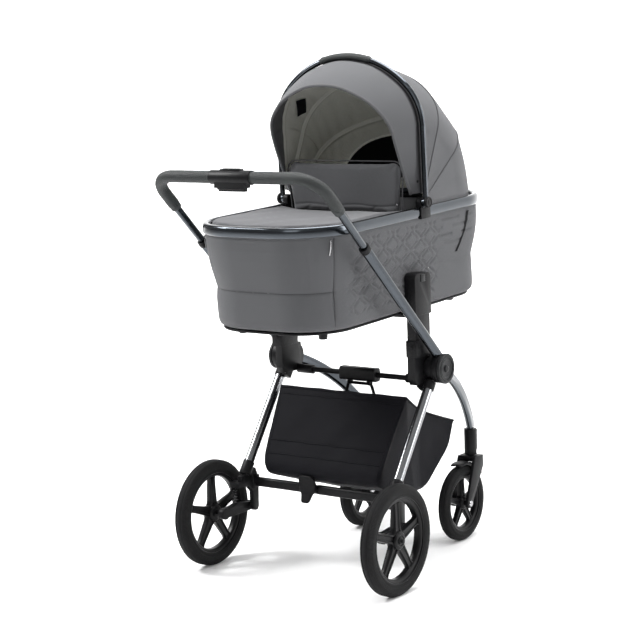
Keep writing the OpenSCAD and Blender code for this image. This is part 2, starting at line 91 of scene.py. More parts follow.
def T(x, y, n=-20.0):
    """A point in the push handle's frame: y up the tubes, n off their plane."""
    return P(x, HUB[0] - y * math.cos(HA) - n * math.sin(HA), HUB[1] + y * math.sin(HA) - n * math.cos(HA))


# ---------------------------------------------------------------- materials
class Mat:
    def __init__(self, name, color, rough=0.5, metal=0.0, **sockets):
        self.m = bpy.data.materials.new(name)
        self.m.use_nodes = True
        self.t = self.m.node_tree
        self.b = self.t.nodes["Principled BSDF"]
        self.b.inputs["Base Color"].default_value = (*color, 1)
        self.b.inputs["Roughness"].default_value = rough
        self.b.inputs["Metallic"].default_value = metal
        for k, v in sockets.items():
            self.b.inputs[k.replace("_", " ")].default_value = v
        self.color = color
        self.co = self.t.nodes.new("ShaderNodeTexCoord")
        self.last = None

    def node(self, kind, **kw):
        n = self.t.nodes.new("ShaderNode" + kind)
        for k, v in kw.items():
            if hasattr(n, k):
                setattr(n, k, v)
            else:
                s = n.inputs[k.replace("_", " ")]
                if hasattr(v, "is_output"):
                    self.t.links.new(v, s)
                else:
                    s.default_value = v
        return n

    def link(self, a, b):
        self.t.links.new(a, b)

    def noise(self, scale, detail=2.0, uv=False, rough=0.5):
        n = self.node("TexNoise", Scale=scale, Detail=detail, Roughness=rough)
        self.link(self.co.outputs["UV" if uv else "Object"], n.inputs["Vector"])
        return n.outputs["Fac"]

    def wave(self, scale, axis="X", uv=True, dist=0.0):
        n = self.node("TexWave", Scale=scale, Distortion=dist, bands_direction=axis)
        self.link(self.co.outputs["UV" if uv else "Object"], n.inputs["Vector"])
        return n.outputs["Fac"]

    def math(self, op, a, b=0.0, c=None):
        n = self.node("Math", operation=op)
        for i, v in enumerate((a, b) if c is None else (a, b, c)):
            if hasattr(v, "is_output"):
                self.link(v, n.inputs[i])
            else:
                n.inputs[i].default_value = v
        return n.outputs[0]

    def span(self, fac, lo, hi, frm=(0.0, 1.0)):
        n = self.node("MapRange")
        n.inputs["From Min"].default_value, n.inputs["From Max"].default_value = frm
        n.inputs["To Min"].default_value, n.inputs["To Max"].default_value = lo, hi
        self.link(fac, n.inputs["Value"])
        return n.outputs[0]

    def tint(self, fac, lo, hi):
        """Base colour times lo to hi, by fac."""
        n = self.node("Mix", data_type="RGBA")
        c = self.color
        n.inputs[6].default_value = (*[min(1, v * lo) for v in c], 1)
        n.inputs[7].default_value = (*[min(1, v * hi) for v in c], 1)
        self.link(fac, n.inputs[0])
        self.link(n.outputs[2], self.b.inputs["Base Color"])
        return n.outputs[2]

    def mix(self, fac, a, color):
        n = self.node("Mix", data_type="RGBA")
        self.link(fac, n.inputs[0])
        self.link(a, n.inputs[6])
        n.inputs[7].default_value = (*color, 1)
        self.link(n.outputs[2], self.b.inputs["Base Color"])
        return n.outputs[2]

    def rough(self, fac, lo, hi):
        self.link(self.span(fac, lo, hi), self.b.inputs["Roughness"])

    def bump(self, height, dist, strength=1.0):
        n = self.node("Bump", Distance=dist, Strength=strength)
        self.link(height, n.inputs["Height"])
        if self.last is not None:
            self.link(self.last, n.inputs["Normal"])
        self.last = n.outputs[0]
        self.link(self.last, self.b.inputs["Normal"])


def plastic(name, color, rough=0.42, grain=1400.0, depth=0.00012, edge=1.5):
    a = Mat(name, color, rough, IOR=1.46, Specular_IOR_Level=0.16)
    fine, broad = a.noise(grain, 3), a.noise(9, 4)
    a.rough(a.math("MULTIPLY_ADD", fine, 0.35, a.math("MULTIPLY", broad, 0.65)), rough - 0.09, rough + 0.11)
    base = a.tint(broad, 0.86, 1.16)
    # painted highlight: convex edges, found by pointiness and broken up by noise, are mixed towards a lighter colour
    geo = a.node("NewGeometry")
    edge_highlight_mask = a.span(geo.outputs["Pointiness"], 0.0, 1.0, (0.52, 0.60))
    broken_edge_highlight = a.math("MULTIPLY", edge_highlight_mask, a.span(a.noise(160, 3), 0.0, 1.0, (0.45, 0.7)))
    a.mix(a.math("MULTIPLY", broken_edge_highlight, 0.5), base, [min(1, c * (1 + edge) + 0.01) for c in color])
    a.bump(fine, depth, 0.6)
    return a.m


def metal(name, color, rough, streak=0.25, coat=0.0):
    a = Mat(name, color, rough, 1.0, Coat_Weight=coat, Coat_Roughness=0.08)
    fine, broad = a.noise(420, 3), a.noise(14, 3)
    a.rough(a.math("MULTIPLY_ADD", fine, streak, a.math("MULTIPLY", broad, 1 - streak)), rough - 0.05, rough + 0.07)
    a.tint(broad, 0.9, 1.1)
    a.bump(fine, 0.000008, 0.3)
    return a.m


def fabric(name, color, period=0.0011, depth=0.00025, melange=0.16, rough=0.86, sheen=0.12, uv=True, broad=0.05):
    a = Mat(name, color, rough, 0.0, Sheen_Weight=sheen, Sheen_Roughness=0.45, Specular_IOR_Level=0.1)
    k = 0.314159 / period
    if uv:
        warp, weft = a.wave(k, "X", True, 0.0), a.wave(k, "Y", True, 0.0)
    else:
        warp, weft = a.wave(k, "DIAGONAL", False, 0.3), a.wave(k, "Z", False, 0.3)
    weave = a.math("MULTIPLY", warp, weft)
    thread = a.noise(520, 4, uv)
    tone = a.math("MULTIPLY_ADD", thread, 0.6, a.math("MULTIPLY", weave, 0.4))
    base = a.tint(a.span(tone, 0.0, 1.0, (0.2, 0.75)), 1 - melange, 1 + melange)
    big = a.node("Mix", data_type="RGBA", blend_type="MULTIPLY")
    big.inputs[0].default_value = 1.0
    a.link(base, big.inputs[6])
    ramp = a.node("CombineColor")
    lift = a.span(a.noise(7, 3), 1 - broad, 1 + broad)
    for i in range(3):
        a.link(lift, ramp.inputs[i])
    a.link(ramp.outputs[0], big.inputs[7])
    a.link(big.outputs[2], a.b.inputs["Base Color"])
    a.rough(thread, rough - 0.06, rough + 0.06)
    a.bump(weave, depth, 0.8)
    a.bump(thread, depth * 0.6, 0.5)
    return a.m


def leather(name, color, scale=700.0, uv=True):
    a = Mat(name, color, 0.5, 0.0, IOR=1.45, Specular_IOR_Level=0.35)
    v = a.node("TexVoronoi", Scale=scale, feature="DISTANCE_TO_EDGE")
    a.link(a.co.outputs["UV" if uv else "Object"], v.inputs["Vector"])
    cell = a.span(v.outputs["Distance"], 0.0, 1.0, (0.0, 0.16))
    fine = a.noise(1500, 3, uv)
    base = a.tint(cell, 0.62, 1.08)
    a.mix(a.math("MULTIPLY", a.span(a.noise(30, 3), 0.0, 1.0, (0.5, 0.75)), 0.25), base, [c * 1.5 for c in color])
    a.rough(a.math("MULTIPLY_ADD", cell, -0.5, a.math("MULTIPLY", fine, 0.5)), 0.5, 0.62)
    a.bump(cell, 0.0003, 0.8)
    a.bump(fine, 0.00008, 0.5)
    return a.m


def rubber(name, color):
    a = Mat(name, color, 0.72, 0.0, IOR=1.4, Specular_IOR_Level=0.22)
    fine, dust = a.noise(900, 4), a.noise(45, 4)
    base = a.tint(fine, 0.8, 1.25)
    a.mix(a.math("MULTIPLY", a.span(dust, 0.0, 1.0, (0.5, 0.78)), 0.22), base, (0.03, 0.029, 0.028))
    a.rough(dust, 0.62, 0.84)
    a.bump(fine, 0.00018, 0.7)
    return a.m


BLACK = plastic("black_plastic", (0.005, 0.005, 0.0057))
HUBGREY = plastic("hub_grey", (0.014, 0.0145, 0.0155), 0.36, 1000.0)
GREY = plastic("grey_plastic", (0.034, 0.037, 0.038), 0.38)
RIMP = plastic("rim_plastic", (0.005, 0.005, 0.0055), 0.3, 900.0)
GUN = metal("gunmetal", (0.056, 0.063, 0.072), 0.17, 0.2, 0.3)
SILVER = metal("silver_tube", (0.24, 0.245, 0.255), 0.22, 0.3, 0.2)
STEEL = metal("spring_steel", (0.45, 0.45, 0.46), 0.25, 0.4)
TYRE = rubber("tyre_rubber", (0.006, 0.006, 0.0065))
FAB = fabric("cot_fabric", (0.090, 0.091, 0.096))
HOODF = fabric("hood_fabric", (0.093, 0.094, 0.099))
PIPE = fabric("piping", (0.06, 0.06, 0.064), 0.0009, uv=False)
LINING = fabric("lining", (0.60, 0.60, 0.55), 0.0014, 0.0003, 0.10, 0.9, 0.12)
MESHB = fabric("window_mesh", (0.004, 0.004, 0.0045), 0.0022, 0.0006, 0.5, 0.8, 0.02)
BASK = fabric("basket_fabric", (0.0055, 0.0055, 0.0075), 0.0009, 0.00018, 0.22, 0.7, 0.0)
WEB = fabric("webbing", (0.008, 0.008, 0.009), 0.002, 0.0004, 0.3, 0.75, 0.04, uv=False)
MATT = fabric("mattress_fabric", (0.42, 0.41, 0.38), 0.0012, 0.0003, 0.08, 0.9, 0.2, uv=False)
GRIP = leather("grip_leather", (0.021, 0.024, 0.024))
BLACK_CLOTH = fabric("black_cloth", (0.006, 0.006, 0.007), 0.0009, 0.0002, 0.25, 0.7, 0.03, uv=False)
FAB3 = fabric("cot_fabric_soft", (0.088, 0.089, 0.094), uv=False)
LINING_PIPE = fabric("lining_piping", (0.74, 0.74, 0.69), 0.001, 0.0002, 0.1, 0.85, 0.1, uv=False)
THREAD = fabric("thread", (0.02, 0.022, 0.022), 0.0006, 0.0002, 0.2, 0.7, 0.05, uv=False)


# ---------------------------------------------------------------- mesh helpers
def put(me, name, mat, body=None, smooth=True):
    o = bpy.data.objects.new(name, me)
    scene.collection.objects.link(o)
    for m in mat if isinstance(mat, (list, tuple)) else [mat]:
        me.materials.append(m)
    me.polygons.foreach_set("use_smooth", [smooth] * len(me.polygons))
    if body:
        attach(o, body)
    return o


def grid(name, pts, mat, body=None, close_u=False, close_v=False, uv=None, index=None, flip=False):
    """A quad mesh over pts[i][j]; uv in metres; index(i, j) picks a material."""
    n, m = len(pts), len(pts[0])
    co = np.array([[tuple(p) for p in row] for row in pts], float).reshape(-1, 3)
    fi, fj = (n if close_u else n - 1), (m if close_v else m - 1)
    faces, loops = [], []
    if uv is None:
        g = co.reshape(n, m, 3)
        du = np.linalg.norm(np.roll(g, -1, 0) - g, axis=2)
        dv = np.linalg.norm(np.roll(g, -1, 1) - g, axis=2)
        u1 = np.zeros((n + 1, m + 1))
        v1 = np.zeros((n + 1, m + 1))
        u1[1:, :m] = np.cumsum(du.mean(1))[:, None]
        u1[:, m] = u1[:, 0]
        v1[:n, 1:] = np.cumsum(dv.mean(0))[None, :]
        v1[n, :] = v1[0, :]
    else:
        u1, v1 = uv
    for i in range(fi):
        for j in range(fj):
            a, b, c, d = (i, j), (i + 1, j), (i + 1, j + 1), (i, j + 1)
            q = [a, b, c, d] if not flip else [a, d, c, b]
            faces.append([(p[0] % n) * m + p[1] % m for p in q])
            loops.extend((u1[p[0], p[1]], v1[p[0], p[1]]) for p in q)
    me = bpy.data.meshes.new(name)
    me.from_pydata([tuple(c) for c in co], [], faces)
    lay = me.uv_layers.new(name="UVMap")
    lay.data.foreach_set("uv", np.array(loops, np.float32).ravel())
    if index:
        me.polygons.foreach_set("material_index", [index(f // fj, f % fj) for f in range(len(faces))])
    return put(me, name, mat, body, True)


def frames(path, normal, closed):
    n = len(path)
    out = []
    for i, p in enumerate(path):
        a, b = path[(i - 1) % n], path[(i + 1) % n]
        if not closed:
            a, b = path[max(i - 1, 0)], path[min(i + 1, n - 1)]
        t = (b - a).normalized()
        out.append((p, normal, t.cross(normal).normalized()))
    return out


def tube(name, path, r, mat, body=None, n=10, closed=False):
    """A round tube along any path, with steady frames."""
    t0 = (path[1] - path[0]).normalized()
    ref = Vector((0, 0, 1)) if abs(t0.z) < 0.9 else Vector((1, 0, 0))
    pts = []
    for i, p in enumerate(path):
        a, b = path[max(i - 1, 0)], path[min(i + 1, len(path) - 1)]
        if closed:
            a, b = path[i - 1], path[(i + 1) % len(path)]
        t = (b - a).normalized()
        s = t.cross(ref)
        if s.length < 1e-6:
            s = t.cross(Vector((1, 0, 0)))
        s.normalize()
        u = s.cross(t).normalized()
        ref = u
        pts.append([p + r * (math.cos(2 * math.pi * k / n) * s + math.sin(2 * math.pi * k / n) * u)
                    for k in range(n)])
    if not closed:
        pts = [[path[0]] * n] + pts + [[path[-1]] * n]
    return grid(name, pts, mat, body, closed, True)


def revolve(name, centre, profile, mat, body=None, n=96, ribs=None, index=None):
    """profile: list of (x, r) in mm about the X axis through centre (mm)."""
    cx, cy, cz = centre
    pts = []
    for i in range(n):
        a = 2 * math.pi * i / n
        row = []
        for j, (x, r) in enumerate(profile):
            dx, dr = ribs(i, j) if ribs else (0, 0)
            row.append(P(cx + x + dx, cy + (r + dr) * math.cos(a), cz + (r + dr) * math.sin(a)))
        pts.append(row)
    return grid(name, pts, mat, body, True, True, index=index)


def join(name, obs, body=None):
    """Joins objects that share a body into one."""
    bpy.ops.object.select_all(action="DESELECT")
    for o in obs:
        w = o.matrix_world.copy()
        o.parent = None
        o.matrix_world = w
        o.select_set(True)
    bpy.context.view_layer.objects.active = obs[0]
    bpy.ops.object.join()
    o = bpy.context.view_layer.objects.active
    o.name = name
    if body:
        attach(o, body)
    return o


def dress(node, mat, bevel=0.0012, segments=2, dissolve=True):
    """A copy of a CAD node with softened edges, which stands for it."""
    src = nodes[node]
    bm = bmesh.new()
    bm.from_mesh(src.data)
    bmesh.ops.remove_doubles(bm, verts=bm.verts, dist=1e-6)
    if dissolve:
        bmesh.ops.dissolve_limit(bm, angle_limit=math.radians(1.0), verts=bm.verts, edges=bm.edges)
    else:
        bmesh.ops.dissolve_limit(bm, angle_limit=math.radians(0.02), verts=bm.verts, edges=bm.edges)
    me = bpy.data.meshes.new(node + "_shape")
    bm.to_mesh(me)
    bm.free()
    me.materials.clear()
    o = put(me, node + "_shape", mat, None, False)
    if bevel:
        b = o.modifiers.new("soft_edges", "BEVEL")
        b.width, b.segments, b.limit_method, b.angle_limit = bevel, segments, "ANGLE", math.radians(32)
        b.use_clamp_overlap = True
    deps = bpy.context.evaluated_depsgraph_get()
    done = bpy.data.meshes.new_from_object(o.evaluated_get(deps))
    o.modifiers.clear()
    o.data = done
    done.polygons.foreach_set("use_smooth", [True] * len(done.polygons))
    done.set_sharp_from_angle(angle=math.radians(34))
    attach(o, src["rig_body"])
    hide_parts(node)
    return o


def puff(o, voxel=0.005, pressure=4.0, cap=0.008, frames_n=20, smooth=1):
    """Swells a closed soft piece with a short cloth simulation and applies the result."""
    bpy.context.view_layer.objects.active = o
    bpy.ops.object.select_all(action="DESELECT")
    o.select_set(True)
    o.data.remesh_voxel_size = voxel
    bpy.ops.object.voxel_remesh()
    start = np.array([v.co for v in o.data.vertices])
    mod = o.modifiers.new("Cloth", "CLOTH")
    s = mod.settings
    s.quality, s.use_pressure, s.uniform_pressure_force = 6, True, pressure
    s.effector_weights.gravity = 0
    s.tension_stiffness = s.compression_stiffness = 15
    s.bending_stiffness = 0.6
    mod.collision_settings.use_collision = False
    for f in range(1, frames_n + 1):
        scene.frame_set(f)
    deps = bpy.context.evaluated_depsgraph_get()
    end = np.array([v.co for v in o.evaluated_get(deps).data.vertices])
    o.modifiers.clear()
    scene.frame_set(1)
    d = end - start
    ln = np.linalg.norm(d, axis=1, keepdims=True)
    d *= np.minimum(1, cap / np.maximum(ln, 1e-9))
    o.data.vertices.foreach_set("co", (start + d).astype(np.float32).ravel())
    sub = o.modifiers.new("sub", "SUBSURF")
    sub.levels = sub.render_levels = 1
    deps = bpy.context.evaluated_depsgraph_get()
    done = bpy.data.meshes.new_from_object(o.evaluated_get(deps))
    o.modifiers.clear()
    o.data = done
    done.polygons.foreach_set("use_smooth", [True] * len(done.polygons))
    return o


def plan(m, n_corner=26, n_side=60, n_end=22):
    """The carrycot's outline, inset by m mm: anticlockwise (x, v, outward x, outward v)."""
    hw, f, h, r = RIM_HALF - m, RIM_FOOT - m, RIM_HEAD - m, CORNER - m
    out = []
    cs = [(hw - r, h - r, 0), (-hw + r, h - r, 90), (-hw + r, -f + r, 180), (hw - r, -f + r, 270)]
    for k, (x, v, a0) in enumerate(cs):
        for i in range(n_corner):
            a = math.radians(a0 + 90 * i / n_corner)
            out.append((x + r * math.cos(a), v + r * math.sin(a), math.cos(a), math.sin(a)))
        x2, v2, _ = cs[(k + 1) % 4]
        a = math.radians(a0 + 90)
        p0 = (x + r * math.cos(a), v + r * math.sin(a))
        p1 = (x2 + r * math.cos(a), v2 + r * math.sin(a))
        m_ = n_end if k % 2 == 0 else n_side
        for i in range(m_):
            t = i / m_
            out.append((p0[0] + (p1[0] - p0[0]) * t, p0[1] + (p1[1] - p0[1]) * t, math.cos(a), math.sin(a)))
    return out


def lerp(x, xs, ys):
    return float(np.interp(x, xs, ys))


# ---------------------------------------------------------------- wheels
def wheel(side, tag, cx, cy, cz, r, wall, w, hub):
    body = tag + "_wheel_" + ("right" if side > 0 else "left")
    end = "_right" if side > 0 else "_left"
    c = (side * cx, cy, cz)
    h, ri = w / 2, r - wall
    half = [(-h + 2.2, ri - 0.6), (-h + 1.3, ri + 1.6), (-h + 2.0, ri + 3.4), (-h + 0.5, ri + 6), (-h, ri + 11),
            (-h + 0.1, r - 13), (-h + 0.9, r - 9.5), (-h + 1.3, r - 9.2), (-h + 2.2, r - 6.0), (-h + 4.2, r - 3.2),
            (-h + 7.0, r - 1.1), (-h + 9.4, r - 0.3), (-h + 10.2, r - 1.2), (-h + 11.0, r - 1.2),
            (-h + 11.6, r - 0.1)]
    prof = half + [(0, r)] + [(-x, q) for x, q in reversed(half)] + [(0, ri - 2)]
    k = len(half)

    def pick(i, j):
        return 1 if 4 <= j <= 9 or 2 * k - 10 <= j <= 2 * k - 4 else 0
    t = revolve(body + "_tyre", c, prof, [TYRE, TYRE_SIDE], body, 144, index=pick)
    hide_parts(tag + "_tyre" + end)
    g = w / 2 - 3
    ring = [(-g, ri), (-g, ri - 3), (-g + 1.6, ri - 4.4), (-g + 3.2, ri - 4.2),
            (-g + 3.8, ri - 9), (-g + 6, ri - 12.5),
            (-g + 9, ri - 13.6), (g - 9, ri - 13.6), (g - 6, ri - 12.5), (g - 3.8, ri - 9), (g - 3.2, ri - 4.2),
            (g - 1.6, ri - 4.4), (g, ri - 3), (g, ri)]
    parts = [revolve(body + "_rim", c, ring, RIMP, None, 96)]
    hb = hub / 2
    hp = [(-g - 0.5, 0), (-g - 0.5, hb - 5), (-g + 0.8, hb - 2.5), (-g + 2.5, hb - 1.5), (-g + 3.5, hb),
          (g - 3.5, hb), (g - 2.5, hb - 1.5), (g - 0.8, hb - 2.5), (g + 0.2, hb - 4), (g + 0.2, hb * 0.62),
          (g - 1.4, hb * 0.56), (g - 1.4, hb * 0.42), (g + 1.6, hb * 0.38), (g + 2.4, hb * 0.3), (g + 2.6, 0)]
    if side < 0:
        hp = [(-x, q) for x, q in reversed(hp)]
    parts.append(revolve(body + "_hub", c, hp, RIMP, None, 48))
    for s in range(5):
        a = math.radians(72 * s + 18)
        rows = []
        for f in np.linspace(0, 1, 14):
            rr = hb - 4 + (ri - 11 - hb + 4) * f
            flare = 1 + 0.55 * max(0, (f - 0.82) / 0.18) ** 2 + 0.35 * max(0, (0.16 - f) / 0.16) ** 2
            tw = (0.275 * hub + (0.20 - 0.275) * hub * f) * flare
            ax = g * (0.62 - 0.16 * f)
            ring_pts = []
            for tt, xx in ((-1, -0.72), (-0.86, -1), (-0.6, -1), (-0.42, -0.66), (0.42, -0.66), (0.6, -1), (0.86, -1),
                           (1, -0.72), (1, 0.72), (0.86, 1), (0.6, 1), (0.42, 0.66), (-0.42, 0.66), (-0.6, 1),
                           (-0.86, 1), (-1, 0.72)):
                y, z = rr * math.cos(a) - tt * tw * math.sin(a), rr * math.sin(a) + tt * tw * math.cos(a)
                ring_pts.append(P(c[0] + xx * ax, cy + y, cz + z))
            rows.append(ring_pts)
        parts.append(grid("spoke", rows, RIMP, None, False, True))
    o = join(body + "_spokes", parts, body)
    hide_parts(tag + "_rim" + end)
    o.data.set_sharp_from_angle(angle=math.radians(40))


TYRE_SIDE = rubber("tyre_side", (0.007, 0.007, 0.0074))


def ribs_on(mat, period, depth):
    t = mat.node_tree
    b = t.nodes["Principled BSDF"]
    co = t.nodes.new("ShaderNodeTexCoord")
    wv = t.nodes.new("ShaderNodeTexWave")
    wv.inputs["Scale"].default_value = 0.314159 / period
    t.links.new(co.outputs["UV"], wv.inputs["Vector"])
    bp = t.nodes.new("ShaderNodeBump")
    bp.inputs["Distance"].default_value = depth
    t.links.new(wv.outputs["Fac"], bp.inputs["Height"])
    t.links.new(b.inputs["Normal"].links[0].from_socket, bp.inputs["Normal"])
    t.links.new(bp.outputs[0], b.inputs["Normal"])


ribs_on(TYRE_SIDE, 0.0034, 0.0009)
for side in (1, -1):
    wheel(side, "rear", 289.5, 0, 140, 140, 30, 36, 46)
    wheel(side, "front", 162, 523, 103.5, 103.5, 24, 32, 34)

# ---------------------------------------------------------------- hard parts, softened at their edges
# node (* for right and left), material, width of its rounded edges in millimetres
HARD = (("hub*", BLACK, 2.2), ("hub_covers", HUBGREY, 1.2), ("crossbar", BLACK, 0.6), ("latch_box", BLACK, 1.8),
        ("rear_leg*", SILVER, 0), ("rear_bracket*", BLACK, 2.2), ("brake_bar", BLACK, 1.5), ("seat_post*", BLACK, 3),
        ("rear_arm*", BLACK, 3.0), ("front_leg*", GUN, 0.6), ("caster*", BLACK, 2.0), ("caster_lock*", HUBGREY, 0.6),
        ("fork*", BLACK, 3.0), ("push_tube*", GUN, 0.6), ("tube_collars", BLACK, 1.5), ("handle_bow", GUN, 0.6),
        ("grip_collars", GREY, 0.6), ("handle_housing", BLACK, 2.2), ("handle_button", GREY, 0.6),
        ("handle_trigger", BLACK, 2.0), ("post_shell*", BLACK, 3.0), ("post_button*", HUBGREY, 0.6),
        ("cot_base", BLACK, 2.0), ("rim_sleeves", BLACK, 2.5), ("carry_arch", GUN, 0.6))
PLAIN = [(name, mat, width) for stem, mat, width in HARD
         for name in ([stem[:-1] + "_right", stem[:-1] + "_left"] if stem[-1] == "*" else [stem])]
KNUCKLE_R = 0.0385
hub_c = P(0, *HUB)
for name, mat, width in PLAIN:
    o = dress(name, mat, width / 1000, dissolve=width > 0)
    if name.startswith(("front_leg", "push_tube")):  # their ends in the hubs are black
        o.data.materials.append(BLACK)
        for p in o.data.polygons:
            ends = [o.data.vertices[k].co - hub_c for k in p.vertices]
            if all(math.hypot(e.y, e.z) < KNUCKLE_R for e in ends):
                p.material_index = 1
for s in ("right", "left"):
    o = nodes["rear_spring_" + s]
    if not o.material_slots:
        o.data.materials.append(STEEL)
    for m in o.material_slots:
        m.material = STEEL


def screw(name, centre, axis, r, body, mat=STEEL):
    """A pan-head screw with a cross-shaped recess; axis points out of the head."""
    axis = Vector(axis).normalized()
    a = axis.cross(Vector((0, 0, 1)))
    a = (a if a.length > 1e-3 else axis.cross(Vector((0, 1, 0)))).normalized()
    b = axis.cross(a)
    rows = []
    for q, d in ((1, -0.4), (1, 0.15), (0.92, 0.32), (0.72, 0.42), (0.5, 0.46), (0.34, 0.46), (0.3, 0.1), (0, 0.1)):
        row = []
        for k in range(24):
            t = 2 * math.pi * k / 24
            qq = q
            if q <= 0.34:
                qq = q * (1.25 if k % 6 in (0, 1) else 0.45)
            row.append(Vector(centre) + r / 1000 * (qq * (math.cos(t) * a + math.sin(t) * b) + d * axis))
        rows.append(row)
    return grid(name, rows, mat, body, False, True)


def ring(name, centre, r, tube_r, mat, body, n=64):
    """A raised ring about the X axis; centre in mm."""
    prof = [(tube_r * math.cos(t), r + tube_r * math.sin(t)) for t in np.linspace(0, 2 * math.pi, 9)[:-1]]
    return revolve(name, centre, prof, mat, body, n)


for side, s in ((1, "right"), (-1, "left")):
    ring("hub_ring_" + s, (side * 271.4, *HUB), 30.5, 1.1, HUBGREY, "chassis")
    ring("hub_ring_inner_" + s, (side * 270.2, *HUB), 22.5, 0.7, GREY, "chassis")
    screw("hub_boss_" + s, P(side * 270, *HUB), (side, 0, 0), 9.0, "chassis", HUBGREY)
    screw("arm_bolt_" + s, P(side * 258, 110, 141), (side, 0, 0), 7.5, "chassis")
    screw("arm_bolt_b_" + s, P(side * 258, 26, 146), (side, 0, 0), 4.5, "rear_arm_" + s)
    screw("spring_bolt_" + s, P(side * 258, 51, 210), (side, 0, 0), 4.5, "chassis")
    screw("leg_rivet_" + s, P(side * 251, 96, 254), (side, -0.4, 0), 4.0, "chassis")
    for z in (585, 640):
        screw("post_screw_%s_%d" % (s, z), P(side * 213.5, 212.5 if z > 600 else 209.5, z), (0, -1, 0), 4.0,
              "chassis", BLACK)
    for y, z in ((229, 640), (264, 640)):
        screw("post_bolt_%s_%d" % (s, y), P(side * 200.5, y, z), (-side, 0, 0), 4.0, "chassis", BLACK)
    screw("shell_screw_" + s, P(side * 213.5, 209, 690), (0, -1, 0), 4.0, "cot", BLACK)
    screw("fork_bolt_" + s, P(side * 162 + 30, 523, 103.5), (1, 0, 0), 8.0, "fork_" + s)
    screw("fork_bolt_in_" + s, P(side * 162 - 30, 523, 103.5), (-1, 0, 0), 8.0, "fork_" + s)
    screw("tube_clip_" + s, T(side * 249.5, 250, -33.6), (0, -math.sin(HA), math.cos(HA)), 4.0, "handle_base", BLACK)

# brake pedal: a rounded head over a tongue, on its barrel
zs = (246.0, 244.5, 241, 236, 228, 219, 208, 201, 195, 188, 181, 177, 175)
rows = []
for z in np.linspace(246.0, 175.0, 40):
    hw = lerp(-z, [-q for q in zs], (13, 19, 23.5, 25.6, 26, 26, 25, 21.5, 17.5, 15.5, 14.4, 12, 8))
    yc = lerp(z, (175, 200, 219, 246), (82.5, 95.5, 98.5, 89.5))
    th = lerp(z, (175, 178, 200, 219, 240, 245, 246), (1.6, 3.2, 6, 7, 5.2, 3.2, 1.6))
    row = []
    for k in range(32):
        t = 2 * math.pi * k / 32
        a, b = math.cos(t), math.sin(t)
        row.append(P(-45 + hw * math.copysign(abs(a) ** 0.45, a), yc + th * math.copysign(abs(b) ** 0.7, b), z))
    rows.append(row)
rows = [[P(-45, 89.5, 246)] * 32] + rows + [[P(-45, 82.5, 175)] * 32]
bar_prof = [(-25.8, 7.6), (-25.8, 10.8), (-24.6, 12), (24.6, 12), (25.8, 10.8), (25.8, 7.6)]
o = join("pedal_paddle", [grid("p", rows, BLACK, None, False, True),
                          revolve("b", (-45, 110, 208), bar_prof, BLACK, None, 40)], nodes["brake_pedal"]["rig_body"])
o.data.set_sharp_from_angle(angle=math.radians(40))
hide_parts("brake_pedal")

# mudguards over the front wheels
GUARD_R = 112.0
for side, s in ((1, "right"), (-1, "left")):
    rows = []
    for f in np.linspace(0, 1, 22):
        a = math.radians(38 + 66 * f)
        rr = GUARD_R
        row = []
        hw = 22 * (1 - 0.25 * (2 * f - 1) ** 4)
        for q, d in ((-1, -4), (-0.9, -1), (-0.6, 0.6), (0, 1.2), (0.6, 0.6), (0.9, -1), (1, -4), (0.88, -5),
                     (0.5, -2.4), (0, -1.6), (-0.5, -2.4), (-0.88, -5)):
            row.append(P(side * 162 + q * hw, 523 + (rr + d) * math.cos(a), 103.5 + (rr + d) * math.sin(a)))
        rows.append(row)
    rows = [[sum(rows[0], Vector()) / 12] * 12] + rows + [[sum(rows[-1], Vector()) / 12] * 12]
    o = grid("mudguard_" + s, rows, BLACK, "fork_" + s, False, True)

# ---------------------------------------------------------------- handle grip, with its sewn seam
R = 65.0


def bow_path(start, step=7.0, x0=249.5):
    out = []
    n = int((735 - R - start) / step)
    for i in range(n + 1):
        out.append((x0, start + (735 - R - start) * i / n))
    for i in range(1, 18):
        a = math.radians(90 * i / 17)
        out.append((x0 - R + R * math.cos(a), 735 - R + R * math.sin(a)))
    m = int((x0 - R) * 2 / step)
    for i in range(1, m):
        out.append((x0 - R - 2 * (x0 - R) * i / m, 735))
    right = out[: n + 18]
    return out + [(-x, y) for x, y in reversed(right)]


path = [T(x, y) for x, y in bow_path(624)]
nrm = (T(0, 0, 1) - T(0, 0, 0)).normalized()
rows = []
N = 28
fr = frames(path, nrm, False)
for i, (p, n, b) in enumerate(fr):
    row = []
    lump = 0.18 * math.sin(i * 0.9) * math.sin(i * 0.37)
    for k in range(N):
        t = 2 * math.pi * k / N
        dip = 0.9 * math.exp(-((math.degrees(t) - 180) / 7.0) ** 2)
        rr = (15.0 + lump - dip) / 1000
        row.append(p + rr * (math.cos(t) * b + math.sin(t) * n))
    rows.append(row)
rows = [[p0 + (q - p0) * 0.72 for q in rows[0]] for p0 in [path[0]]] + rows
rows += [[path[-1] + (q - path[-1]) * 0.72 for q in rows[-1]]]
grip = grid("grip_cover", rows, GRIP, "handle_top", False, True)
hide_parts("handle_grip")
stitches = []
for i in range(2, len(fr) - 2):
    p, n, b = fr[i]
    q = fr[i + 1][0]
    for f in (0.25, 0.75):
        m = p + (q - p) * f
        t = (q - p).normalized()
        for off in (-2.3, 2.3):
            a = m - b * 0.01505 + n * off / 1000
            stitches.append(tube("st", [a - t * 0.0014, a - b * 0.0003, a + t * 0.0014], 0.00042, THREAD, None, 5))
join("grip_stitching", stitches, "handle_top")

